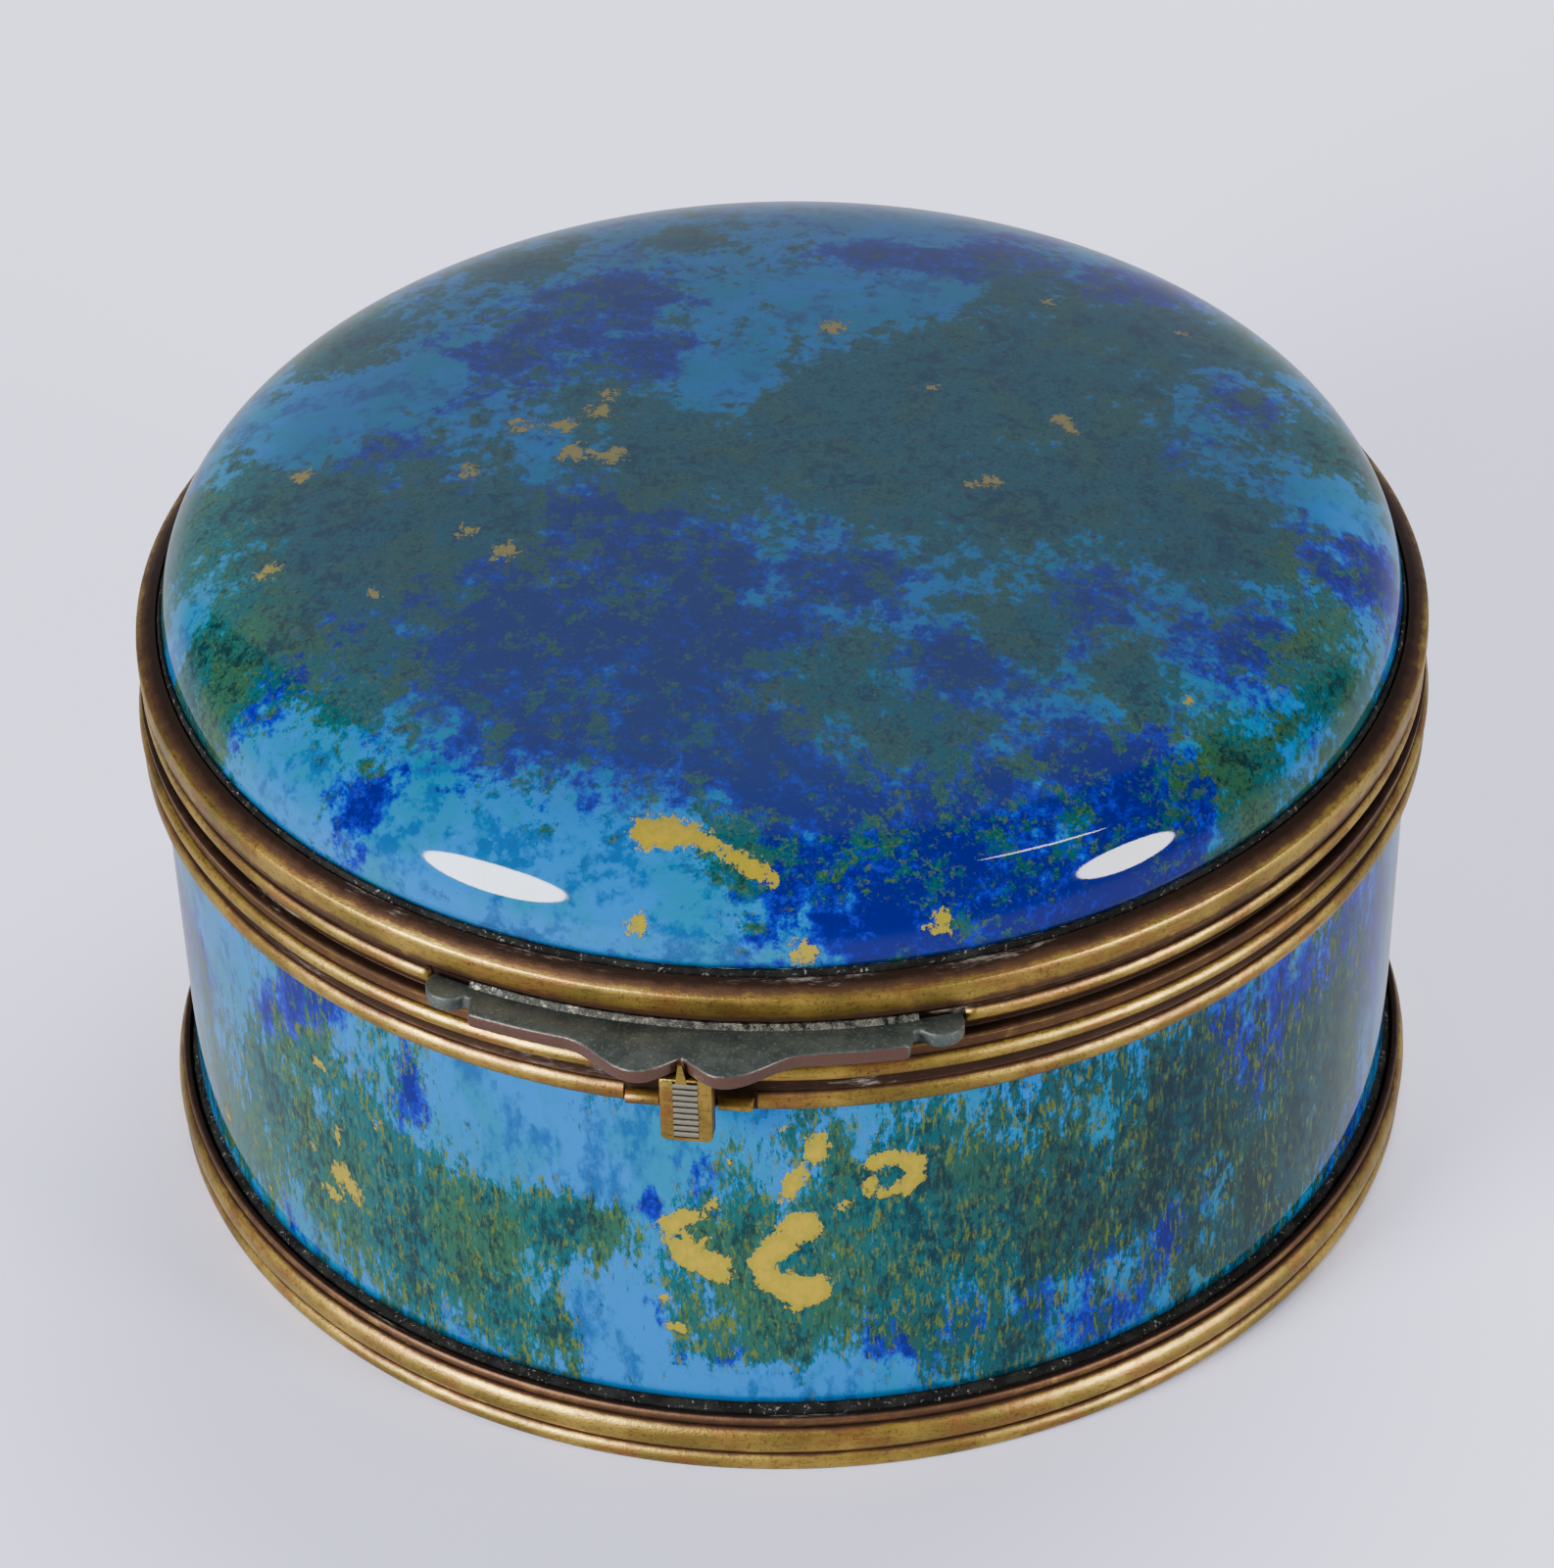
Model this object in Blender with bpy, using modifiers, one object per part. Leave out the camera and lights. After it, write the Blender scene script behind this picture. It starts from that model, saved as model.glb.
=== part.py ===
"""Round porcelain box with brass mounts, a hinged domed lid and a sprung front latch.

Metres, +Z up. The origin is on the box's axis, level with the underside of its base ring.
The latch faces -Y and the hinge lies at +Y, so the box is alike on both sides of X = 0.
"""
import math

import bmesh
import bpy

# General sizes
CLEARANCE = 0.0003            # between pieces that rest on or beside one another
PIN_CLEARANCE = 0.0001        # round a pin in its bore
TURN_STEPS = 44               # facets of the large turned pieces
PIN_STEPS = 16                # facets of pins and knuckles

# Porcelain bowl
WALL_FOOT_RADIUS = 0.0580     # outside of the wall, just above the base ring
WALL_FLARE = 0.00085          # how much wider the wall is at its top edge
WALL_THICKNESS = 0.0042       # at the top edge
BOWL_TOP = 0.0479             # top edge, inside the body rim
BOWL_FLOOR = 0.0040           # thickness of the floor
FOOT_RECESS = 0.0011          # hollow under the floor
FOOT_WIDTH = 0.0066           # standing ring of the bowl
INSIDE_CORNER = 0.0060        # radius between floor and wall
REBATE = 0.0009               # how far the glazed wall steps in where a mount is bedded

# Base ring: foot bead, torus and top bead round a channel for the bowl's foot
BEDDING_WIDTH = 0.0010
BASE_SHELF = 0.0010           # thickness of the shelf that the bowl stands on
BASE_SHELF_WIDTH = 0.0067
BASE_WALL = 0.0005            # metal behind the mouldings
BASE_FOOT_BEAD = 0.0021
BASE_TORUS = 0.0032
BASE_TOP_BEAD = 0.0011
BASE_FOOT_BEAD_OUT = 0.0007   # how far each moulding stands out
BASE_TORUS_OUT = 0.0009
BASE_TOP_BEAD_OUT = 0.0003
BASE_BEDDING_RISE = 0.0004    # bedding seen above the ring

# Body rim: edge bead and two reeds on a skirt, a shoulder for the lid and an upstand inside it
RIM_SKIRT = 0.00045
RIM_TOP_PLATE = 0.00185
RIM_INNER_PLATE = 0.0016
RIM_EDGE_BEAD = 0.0007
RIM_GROOVE = 0.0009
RIM_UPPER_REED = 0.0017
RIM_HOLLOW = 0.0013
RIM_LOWER_REED = 0.0020
RIM_EDGE_OUT = 0.00045        # how far each moulding stands out
RIM_GROOVE_OUT = 0.0002
RIM_UPPER_REED_OUT = 0.0008
RIM_LOWER_REED_OUT = 0.0006
SHOULDER_SET_BACK = 0.0006    # from the skirt's face in to the shoulder
SHOULDER_HEIGHT = 0.0007
UPSTAND_THICKNESS = 0.0008
UPSTAND_HEIGHT = 0.0013
UPSTAND_SET_BACK = 0.0017
LID_RUNNING_GAP = 0.0004      # between the upstand and the lid rim

# Lid rim: ledge, band, groove and lower bead round a channel for the lid's edge
LID_RIM_HEIGHT = 0.00515
LID_LOWER_BEAD = 0.0015
LID_GROOVE = 0.0007
LID_LOWER_BEAD_OUT = 0.0005
LID_BAND_OUT = 0.00065
LID_LEDGE_FALL = 0.0004       # how far the ledge drops to its outer edge
LID_RIM_WALL = 0.0007         # metal behind the mouldings
LID_SHELF = 0.0009            # thickness of the shelf under the lid's edge
LID_BEDDING_WIDTH = 0.0011
LID_BEDDING_RISE = 0.0011

# Porcelain lid
LID_SET_IN = 0.00125          # its widest part, within the wall at the top edge
LID_DOME_HEIGHT = 0.0169      # from the dome's widest level to the crown
LID_DOME_SINK = 0.0013        # how far the widest level lies below the glaze's edge
LID_THICKNESS = 0.0036
DOME_SQUARENESS = 2.69        # 2 is an ellipse, more is fuller at the shoulder
LID_REBATE = 0.0006

# Thumb piece: a flat plate with two lobes, a cusp between them and a round tab at each end
THUMB_THICKNESS = 0.0015
THUMB_OUT = 0.0039            # how far its plain stretches stand out from the lid rim
THUMB_LOBE_OUT = 0.0029       # how much further the tips of its lobes reach
THUMB_LOBE_ANGLE = 3.3        # degrees from the middle to a lobe's tip
THUMB_LOBE_INNER = 4.8        # degrees over which a lobe falls away towards the cusp
THUMB_LOBE_OUTER = 6.2        # and towards the plain stretch
THUMB_PLATE_ANGLE = 17.7      # degrees from the middle to the step at the plate's end
THUMB_TAB_ANGLE = 20.7
THUMB_TAB_RADIUS = 0.0021
THUMB_SEAT_DEPTH = 0.0002     # cut into the lid rim's wall behind the plate

# Latch
LEVER_WIDTH = 0.00454
LEVER_THICKNESS = 0.0018
LEVER_STAND_OFF = 0.0045      # from the pivot out to the lever's front
LEVER_DROP = 0.0010           # from the pivot down to the lever's lower end
LEVER_CORNER = 0.00055
LEVER_SHOULDER_FALL = 0.0004  # slope of the lever's top on each side of the tongue
LEVER_WEB = 0.0015            # thickness of the arm from the lever to its knuckle
RIB_PANEL_WIDTH = 0.00226
RIB_PITCH = 0.00067
RIB_HEIGHT = 0.00018
RIB_PROUD = 0.00005           # the ribbed panel's face in front of the lever's
TONGUE_RISE = 0.0016          # above the lever's top
TONGUE_WIDTH = 0.0012         # at its foot
TONGUE_TIP_WIDTH = 0.0004
LATCH_KNUCKLE_RADIUS = 0.00065
LATCH_KNUCKLE_LENGTH = 0.0030
LATCH_PIN_RADIUS = 0.0003
LATCH_AXIS_RISE = 0.00125     # above the lower edge of the body rim
RIM_BACKING = 0.0003          # metal left behind the latch
LATCH_RECESS_SHARE = 0.6      # how far up the rim's hollow the recess for it goes

# Hinge
HINGE_BARREL_RADIUS = 0.0020
HINGE_PIN_RADIUS = 0.00075
HINGE_HEAD_RADIUS = 0.0012
HINGE_HEAD_HEIGHT = 0.0008
HINGE_STAND_OFF = 0.0038      # from the body rim out to the hinge's axis
HINGE_MIDDLE_LENGTH = 0.0084
HINGE_OUTER_LENGTH = 0.0085
LEAF_THICKNESS = 0.0012       # at its thinnest, in the middle
LEAF_HEIGHT = 0.0043
LEAF_MARGIN = 0.0005          # from a leaf's edge to the edge of its rim
LEAF_END = 0.0005             # past the outermost knuckle

# Sizes worked out from those above
wall_top_radius = WALL_FOOT_RADIUS + WALL_FLARE
bowl_inside_radius = wall_top_radius - WALL_THICKNESS
bowl_underside = BASE_SHELF + CLEARANCE
foot_rebate_radius = WALL_FOOT_RADIUS - REBATE

base_channel_radius = foot_rebate_radius + CLEARANCE + BEDDING_WIDTH + CLEARANCE
base_face_radius = base_channel_radius + BASE_WALL
base_ring_height = BASE_FOOT_BEAD + BASE_TORUS + BASE_TOP_BEAD
glaze_lower_edge = base_ring_height + BASE_BEDDING_RISE + CLEARANCE

rim_skirt_radius = wall_top_radius + CLEARANCE
rim_face_radius = rim_skirt_radius + RIM_SKIRT
rim_plate_underside = BOWL_TOP + CLEARANCE
ledge_height = rim_plate_underside + RIM_TOP_PLATE
upper_reed_top = ledge_height - RIM_EDGE_BEAD - RIM_GROOVE
hollow_top = upper_reed_top - RIM_UPPER_REED
lower_reed_top = hollow_top - RIM_HOLLOW
rim_lower_edge = lower_reed_top - RIM_LOWER_REED
rim_outer_radius = rim_face_radius + max(RIM_UPPER_REED_OUT, RIM_LOWER_REED_OUT, RIM_EDGE_OUT)
shoulder_radius = rim_face_radius - SHOULDER_SET_BACK
shoulder_top = ledge_height + SHOULDER_HEIGHT
upstand_radius = shoulder_radius - UPSTAND_SET_BACK
upstand_top = shoulder_top + UPSTAND_HEIGHT

lid_bottom = shoulder_top + CLEARANCE
lid_rebate_top = upstand_top + CLEARANCE
lid_shelf_top = lid_rebate_top + LID_SHELF
lid_rim_top = lid_bottom + LID_RIM_HEIGHT
lid_edge_radius = wall_top_radius - LID_SET_IN
lid_rebate_radius = lid_edge_radius - LID_REBATE
lid_channel_radius = lid_rebate_radius + CLEARANCE + LID_BEDDING_WIDTH + CLEARANCE
lid_face_radius = lid_channel_radius + LID_RIM_WALL
lid_outer_radius = lid_face_radius + max(LID_BAND_OUT, LID_LOWER_BEAD_OUT)
lid_edge_bottom = lid_shelf_top + CLEARANCE
lid_inside_radius = lid_rebate_radius - LID_THICKNESS
glaze_edge = lid_rim_top + LID_BEDDING_RISE
dome_base = glaze_edge - LID_DOME_SINK

thumb_top = lid_bottom + THUMB_THICKNESS
thumb_inner_radius = lid_face_radius + CLEARANCE
thumb_radius = lid_face_radius + THUMB_OUT
thumb_reach = thumb_radius + THUMB_LOBE_OUT

latch_axis_y = -(rim_skirt_radius + RIM_BACKING + CLEARANCE + LATCH_KNUCKLE_RADIUS)
latch_axis_z = rim_lower_edge + LATCH_AXIS_RISE
latch_knuckle_start = LEVER_WIDTH / 2 + CLEARANCE
latch_knuckle_end = latch_knuckle_start + LATCH_KNUCKLE_LENGTH

hinge_axis_y = rim_outer_radius + HINGE_STAND_OFF
hinge_axis_z = (ledge_height + lid_bottom) / 2
hinge_outer_start = HINGE_MIDDLE_LENGTH / 2 + CLEARANCE
hinge_half_length = hinge_outer_start + HINGE_OUTER_LENGTH


def clear_scene():
    for old in list(bpy.data.objects):
        bpy.data.objects.remove(old)


def new_collection(name):
    collection = bpy.data.collections.new(name)
    bpy.context.scene.collection.children.link(collection)
    return collection


def surface(name, colour, roughness, metallic=0.0, coat=0.0):
    material = bpy.data.materials.new(name)
    material.use_nodes = True
    shader = material.node_tree.nodes["Principled BSDF"]
    shader.inputs["Base Color"].default_value = (*colour, 1.0)
    shader.inputs["Roughness"].default_value = roughness
    shader.inputs["Metallic"].default_value = metallic
    shader.inputs["Coat Weight"].default_value = coat
    return material


def blue_glaze():
    return surface("blue glaze", (0.045, 0.27, 0.46), 0.12, coat=0.6)


def aged_brass():
    return surface("aged brass", (0.46, 0.31, 0.11), 0.38, metallic=1.0)


def worn_latch_brass():
    return surface("worn latch brass", (0.42, 0.30, 0.14), 0.34, metallic=1.0)


def dark_patina():
    return surface("dark patina", (0.045, 0.055, 0.045), 0.55, metallic=0.6)


def black_bedding():
    return surface("black bedding", (0.018, 0.018, 0.018), 0.8)


def pin_brass():
    return surface("pin brass", (0.34, 0.25, 0.12), 0.42, metallic=1.0)


def as_cutter(piece):
    for held_by in list(piece.users_collection):
        held_by.objects.unlink(piece)
    cutters.objects.link(piece)
    piece.hide_render = True
    piece.display_type = "WIRE"
    return piece


def half_round(top, height, face, stand_out, count=3):
    """Points down a moulding that bulges out of a plain face, without its two ends."""
    points = []
    for k in range(1, count + 1):
        angle = math.pi * (0.5 - k / (count + 1))
        radius = face + stand_out * math.cos(angle)
        points.append((radius, top - height / 2 + height / 2 * math.sin(angle)))
    return points


def turned(name, profile, material, steps=TURN_STEPS, closed=True):
    """A piece turned about Z. The profile of (radius, height) pairs runs down its outer side."""
    count = len(profile)
    links = count if closed else count - 1
    mesh = bpy.data.meshes.new(name)
    mesh.from_pydata(
        [(radius, 0.0, height) for radius, height in profile],
        [(i, (i + 1) % count) for i in range(links)],
        [],
    )
    mesh.materials.append(material)
    piece = bpy.data.objects.new(name, mesh)
    box_collection.objects.link(piece)
    screw = piece.modifiers.new("Turn", "SCREW")
    screw.axis = "Z"
    screw.angle = math.tau
    screw.steps = steps
    screw.render_steps = steps
    screw.use_merge_vertices = True
    screw.merge_threshold = 0.00001
    screw.use_smooth_shade = True
    return piece


def slab(name, outline, low, high, material, plane="plan"):
    """A flat outline given a thickness from low to high: along Z, or X or Y for a side or front view."""
    curve = bpy.data.curves.new(name, "CURVE")
    curve.dimensions = "2D"
    curve.fill_mode = "BOTH"
    curve.extrude = (high - low) / 2
    spline = curve.splines.new("POLY")
    spline.points.add(len(outline) - 1)
    for point, (u, v) in zip(spline.points, outline):
        point.co = (u, v, 0.0, 1.0)
    spline.use_cyclic_u = True
    drawn = bpy.data.objects.new(name + " outline", curve)
    box_collection.objects.link(drawn)
    middle = (high + low) / 2
    if plane == "plan":
        drawn.location = (0.0, 0.0, middle)
    elif plane == "side":
        drawn.rotation_euler = (math.pi / 2, 0.0, math.pi / 2)
        drawn.location = (middle, 0.0, 0.0)
    else:
        drawn.rotation_euler = (math.pi / 2, 0.0, 0.0)
        drawn.location = (0.0, middle, 0.0)
    bpy.context.view_layer.update()
    evaluated = drawn.evaluated_get(bpy.context.evaluated_depsgraph_get())
    mesh = bpy.data.meshes.new_from_object(evaluated)
    mesh.transform(drawn.matrix_world)
    weld = bmesh.new()
    weld.from_mesh(mesh)
    bmesh.ops.remove_doubles(weld, verts=weld.verts, dist=0.000001)
    bmesh.ops.recalc_face_normals(weld, faces=weld.faces)
    weld.to_mesh(mesh)
    weld.free()
    mesh.name = name
    mesh.materials.clear()
    mesh.materials.append(material)
    bpy.data.objects.remove(drawn)
    bpy.data.curves.remove(curve)
    piece = bpy.data.objects.new(name, mesh)
    box_collection.objects.link(piece)
    return piece


def rectangle(left, right, bottom, top):
    return [(left, bottom), (right, bottom), (right, top), (left, top)]


def arc(centre, radius, start, end, count):
    """Points on a circle from one angle to another, in degrees, both ends included."""
    points = []
    for k in range(count + 1):
        angle = math.radians(start + (end - start) * k / count)
        points.append((centre[0] + radius * math.cos(angle), centre[1] + radius * math.sin(angle)))
    return points


def rod(name, radius, low, high, y, z, material, steps=PIN_STEPS):
    """A round bar along X."""
    mesh = bpy.data.meshes.new(name)
    bar = bmesh.new()
    bmesh.ops.create_cone(
        bar, cap_ends=True, segments=steps, radius1=radius, radius2=radius, depth=high - low
    )
    bar.to_mesh(mesh)
    bar.free()
    mesh.materials.append(material)
    piece = bpy.data.objects.new(name, mesh)
    box_collection.objects.link(piece)
    piece.rotation_euler = (0.0, math.pi / 2, 0.0)
    piece.location = ((low + high) / 2, y, z)
    return piece


def combine(piece, operation, other):
    as_cutter(other)
    step = piece.modifiers.new(operation.title() + " " + other.name, "BOOLEAN")
    step.operation = operation
    step.solver = "EXACT"
    step.object = other
    return piece


def hang_on(axis, *pieces):
    """Parents pieces to an empty on their joint's axis, and leaves them where they are."""
    for piece in pieces:
        piece.parent = axis
        piece.matrix_parent_inverse = axis.matrix_world.inverted()


def joint_axis(name, location):
    empty = bpy.data.objects.new(name, None)
    box_collection.objects.link(empty)
    empty.location = location
    bpy.context.view_layer.update()
    return empty


def porcelain_bowl():
    """The cup: a nearly straight wall, a flat floor inside and a shallow recess below."""
    floor_top = bowl_underside + FOOT_RECESS + BOWL_FLOOR
    foot_inside = foot_rebate_radius - FOOT_WIDTH
    corner = (bowl_inside_radius - INSIDE_CORNER, floor_top + INSIDE_CORNER)
    profile = [(0.0, floor_top)]
    profile += arc(corner, INSIDE_CORNER, -90, 0, 3)
    profile += [
        (bowl_inside_radius, BOWL_TOP),
        (wall_top_radius, BOWL_TOP),
        (WALL_FOOT_RADIUS, glaze_lower_edge),
        (foot_rebate_radius, glaze_lower_edge),
        (foot_rebate_radius, bowl_underside),
        (foot_inside, bowl_underside),
        (foot_inside - FOOT_RECESS, bowl_underside + FOOT_RECESS),
        (0.0, bowl_underside + FOOT_RECESS),
    ]
    return turned("porcelain_bowl", profile, blue_glaze(), closed=False)


def base_bedding():
    """The dark filler that beds the bowl's foot in the base ring."""
    inner = foot_rebate_radius + CLEARANCE
    outer = inner + BEDDING_WIDTH
    crest = glaze_lower_edge - CLEARANCE
    profile = [
        (inner, crest),
        ((inner + outer) / 2, crest - BASE_BEDDING_RISE / 4),
        (outer, base_ring_height - BASE_TOP_BEAD / 2),
        (outer, bowl_underside),
        (inner, bowl_underside),
    ]
    return turned("base_bedding", profile, black_bedding())


def base_ring():
    """The foot mount: two beads with a torus between them, and a shelf under the bowl."""
    torus_top = base_ring_height - BASE_TOP_BEAD
    torus_foot = torus_top - BASE_TORUS
    face = base_face_radius
    profile = [(base_channel_radius, base_ring_height - BASE_TOP_BEAD / 4)]
    profile += [((base_channel_radius + face) / 2, base_ring_height)]
    profile += half_round(base_ring_height, BASE_TOP_BEAD, face, BASE_TOP_BEAD_OUT, 2)
    profile += [(face, torus_top)]
    profile += half_round(torus_top, BASE_TORUS, face, BASE_TORUS_OUT)
    profile += [(face, torus_foot)]
    profile += half_round(torus_foot, BASE_FOOT_BEAD, face, BASE_FOOT_BEAD_OUT)
    profile += [
        (face, 0.0),
        (base_channel_radius - BASE_SHELF_WIDTH, 0.0),
        (base_channel_radius - BASE_SHELF_WIDTH, BASE_SHELF),
        (base_channel_radius, BASE_SHELF),
    ]
    return turned("base_ring", profile, aged_brass())


def body_rim():
    """The mount on the bowl's edge, cut away at the front for the latch."""
    face = rim_face_radius
    profile = [
        (upstand_radius - UPSTAND_THICKNESS, upstand_top),
        (upstand_radius, upstand_top),
        (upstand_radius, shoulder_top),
        (shoulder_radius, shoulder_top),
        (shoulder_radius, ledge_height),
    ]
    profile += half_round(ledge_height, RIM_EDGE_BEAD, face, RIM_EDGE_OUT, 2)
    profile += [(face + RIM_GROOVE_OUT, ledge_height - RIM_EDGE_BEAD)]
    profile += [(face + RIM_GROOVE_OUT, upper_reed_top)]
    profile += half_round(upper_reed_top, RIM_UPPER_REED, face, RIM_UPPER_REED_OUT)
    profile += [(face, hollow_top), (face, lower_reed_top)]
    profile += half_round(lower_reed_top, RIM_LOWER_REED, face, RIM_LOWER_REED_OUT)
    profile += [
        (face, rim_lower_edge),
        (rim_skirt_radius, rim_lower_edge),
        (rim_skirt_radius, rim_plate_underside),
        (bowl_inside_radius, rim_plate_underside),
        (bowl_inside_radius, rim_plate_underside + RIM_INNER_PLATE),
        (upstand_radius - UPSTAND_THICKNESS, rim_plate_underside + RIM_INNER_PLATE),
    ]
    rim = turned("body_rim", profile, aged_brass())
    half_width = latch_knuckle_end + CLEARANCE
    recess = slab(
        "latch recess",
        rectangle(-half_width, half_width, -2 * rim_outer_radius, -(rim_skirt_radius + RIM_BACKING)),
        rim_lower_edge - CLEARANCE,
        lower_reed_top + LATCH_RECESS_SHARE * RIM_HOLLOW,
        rim.data.materials[0],
    )
    return combine(rim, "DIFFERENCE", recess)


def lid_rim():
    """The mount round the lid's edge, with its lower bead cut away where the thumb piece sits."""
    face = lid_face_radius
    groove_foot = lid_bottom + LID_LOWER_BEAD
    band_foot = groove_foot + LID_GROOVE
    band_height = LID_RIM_HEIGHT - LID_LEDGE_FALL - LID_LOWER_BEAD - LID_GROOVE
    profile = [
        (lid_channel_radius, lid_rim_top),
        (face + LID_BAND_OUT * 0.9, band_foot + band_height),
        (face + LID_BAND_OUT, band_foot + band_height / 2),
        (face + LID_BAND_OUT * 0.9, band_foot + LID_LEDGE_FALL / 2),
        (face, band_foot),
        (face, groove_foot),
    ]
    profile += half_round(groove_foot, LID_LOWER_BEAD, face, LID_LOWER_BEAD_OUT)
    profile += [
        (face, lid_bottom),
        (upstand_radius + LID_RUNNING_GAP, lid_bottom),
        (upstand_radius + LID_RUNNING_GAP, lid_rebate_top),
        (lid_inside_radius, lid_rebate_top),
        (lid_inside_radius, lid_shelf_top),
        (lid_channel_radius, lid_shelf_top),
    ]
    rim = turned("lid_rim", profile, aged_brass())
    tab_end = THUMB_TAB_ANGLE + math.degrees((THUMB_TAB_RADIUS + CLEARANCE) / thumb_inner_radius)
    seat_radius = face - THUMB_SEAT_DEPTH
    inner = arc((0.0, 0.0), seat_radius, -90 - tab_end, -90 + tab_end, 12)
    outer = arc((0.0, 0.0), 2 * face, -90 + tab_end, -90 - tab_end, 12)
    seat = slab(
        "thumb piece seat",
        inner + outer,
        lid_bottom - CLEARANCE,
        thumb_top + CLEARANCE,
        rim.data.materials[0],
    )
    return combine(rim, "DIFFERENCE", seat)


def lid_bedding():
    """The dark filler that beds the lid's edge in its rim."""
    inner = lid_rebate_radius + CLEARANCE
    outer = inner + LID_BEDDING_WIDTH
    crest = glaze_edge - CLEARANCE
    profile = [
        (inner, crest),
        ((inner + outer) / 2, (crest + lid_rim_top) / 2),
        (outer, lid_rim_top - LID_LEDGE_FALL / 2),
        (outer, lid_edge_bottom),
        (inner, lid_edge_bottom),
    ]
    return turned("lid_bedding", profile, black_bedding())


def dome(radius, height, first, count):
    """Points of a squared-off quarter ellipse, from its angle first, in degrees, up to the crown."""
    points = []
    for k in range(count):
        angle = math.radians(first + (90 - first) * k / count)
        across = math.cos(angle) ** (2 / DOME_SQUARENESS)
        rise = math.sin(angle) ** (2 / DOME_SQUARENESS)
        points.append((radius * across, dome_base + height * rise))
    return points + [(0.0, dome_base + height)]


def porcelain_lid():
    """The domed lid, hollow inside, with a step at its edge for the mount."""
    sink_share = LID_DOME_SINK / LID_DOME_HEIGHT
    first = math.degrees(math.asin(sink_share ** (DOME_SQUARENESS / 2)))
    profile = dome(lid_edge_radius, LID_DOME_HEIGHT, first, 9)
    profile.reverse()
    profile += [
        (lid_rebate_radius, glaze_edge),
        (lid_rebate_radius, lid_edge_bottom),
        (lid_inside_radius, lid_edge_bottom),
    ]
    profile += dome(lid_inside_radius, LID_DOME_HEIGHT - LID_THICKNESS, 0, 6)
    return turned("porcelain_lid", profile, blue_glaze(), closed=False)


def lobe_radius(angle):
    """Distance from the axis to the thumb plate's edge, at degrees from its middle."""
    away = abs(angle) - THUMB_LOBE_ANGLE
    spread = THUMB_LOBE_INNER if away < 0 else THUMB_LOBE_OUTER
    share = min(abs(away) / spread, 1.0)
    rise = thumb_reach / math.cos(math.radians(THUMB_LOBE_ANGLE)) - thumb_radius
    return thumb_radius + rise * math.cos(share * math.pi / 2) ** 2


def thumb_half_outline():
    """Right half of the plate, from the cusp in the middle round to its inner edge."""
    points = []
    for k in range(13):
        angle = THUMB_PLATE_ANGLE * k / 12
        turn = math.radians(angle)
        points.append((lobe_radius(angle) * math.sin(turn), -lobe_radius(angle) * math.cos(turn)))
    tab_turn = math.radians(THUMB_TAB_ANGLE)
    tab_distance = thumb_radius - THUMB_TAB_RADIUS * 1.4
    tab = (tab_distance * math.sin(tab_turn), -tab_distance * math.cos(tab_turn))
    step_turn = math.radians(THUMB_PLATE_ANGLE + 0.6)
    step_radius = tab_distance + THUMB_TAB_RADIUS / 3
    points.append((step_radius * math.sin(step_turn), -step_radius * math.cos(step_turn)))
    points += arc(tab, THUMB_TAB_RADIUS, -130, 10, 7)
    return points


def thumb_piece():
    """The thumb piece on the lid rim, in front of the seam."""
    right = thumb_half_outline()
    end = math.atan2(right[-1][0], -right[-1][1])
    inner = arc((0.0, 0.0), thumb_inner_radius, -90 + math.degrees(end), -90 - math.degrees(end), 14)
    left = [(-x, y) for x, y in reversed(right[1:])]
    return slab("thumb_piece", right + inner + left, lid_bottom, thumb_top, dark_patina())


def latch_pin():
    return rod(
        "latch_pin", LATCH_PIN_RADIUS, -latch_knuckle_end, latch_knuckle_end,
        latch_axis_y, latch_axis_z, pin_brass(),
    )


def latch_knuckle(side, start, end):
    """One of the two fixed barrels that carry the latch's pin."""
    name = "latch_knuckle_" + side
    barrel = rod(name, LATCH_KNUCKLE_RADIUS, start, end, latch_axis_y, latch_axis_z, worn_latch_brass())
    bore = rod(
        name + " bore", LATCH_PIN_RADIUS + PIN_CLEARANCE, start - CLEARANCE, end + CLEARANCE,
        latch_axis_y, latch_axis_z, barrel.data.materials[0],
    )
    return combine(barrel, "DIFFERENCE", bore)


def rib_outline(front, back, bottom, top):
    """Side view of the finger panel: a ridge for each pitch, towards -Y."""
    proud = front - RIB_PROUD
    count = int((top - bottom) / RIB_PITCH)
    points = [(back, bottom), (proud, bottom)]
    for k in range(count):
        foot = bottom + k * RIB_PITCH
        points.append((proud - RIB_HEIGHT, foot + RIB_PITCH / 2))
        points.append((proud, foot + RIB_PITCH))
    points.append((back, bottom + count * RIB_PITCH))
    return points


def latch_tongue(lever_top, front, brass):
    """The lever's tip: it stands in the thumb piece's cusp and tapers upwards."""
    half_foot = TONGUE_WIDTH / 2
    half_tip = TONGUE_TIP_WIDTH / 2
    tip = -(lobe_radius(0) + 1.3 * CLEARANCE)
    tongue = slab(
        "latch tongue",
        [(0.0, tip), (-half_foot, front + CLEARANCE), (-half_foot, front), (half_foot, front),
         (half_foot, front + CLEARANCE)],
        lever_top - 3 * CLEARANCE, lever_top + TONGUE_RISE, brass,
    )
    gable = slab(
        "tongue taper",
        [(-TONGUE_WIDTH, lever_top - 4 * CLEARANCE), (TONGUE_WIDTH, lever_top - 4 * CLEARANCE),
         (half_tip, lever_top + TONGUE_RISE), (-half_tip, lever_top + TONGUE_RISE)],
        2 * front, 0.0, brass, "front",
    )
    return combine(tongue, "INTERSECT", gable)


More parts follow.
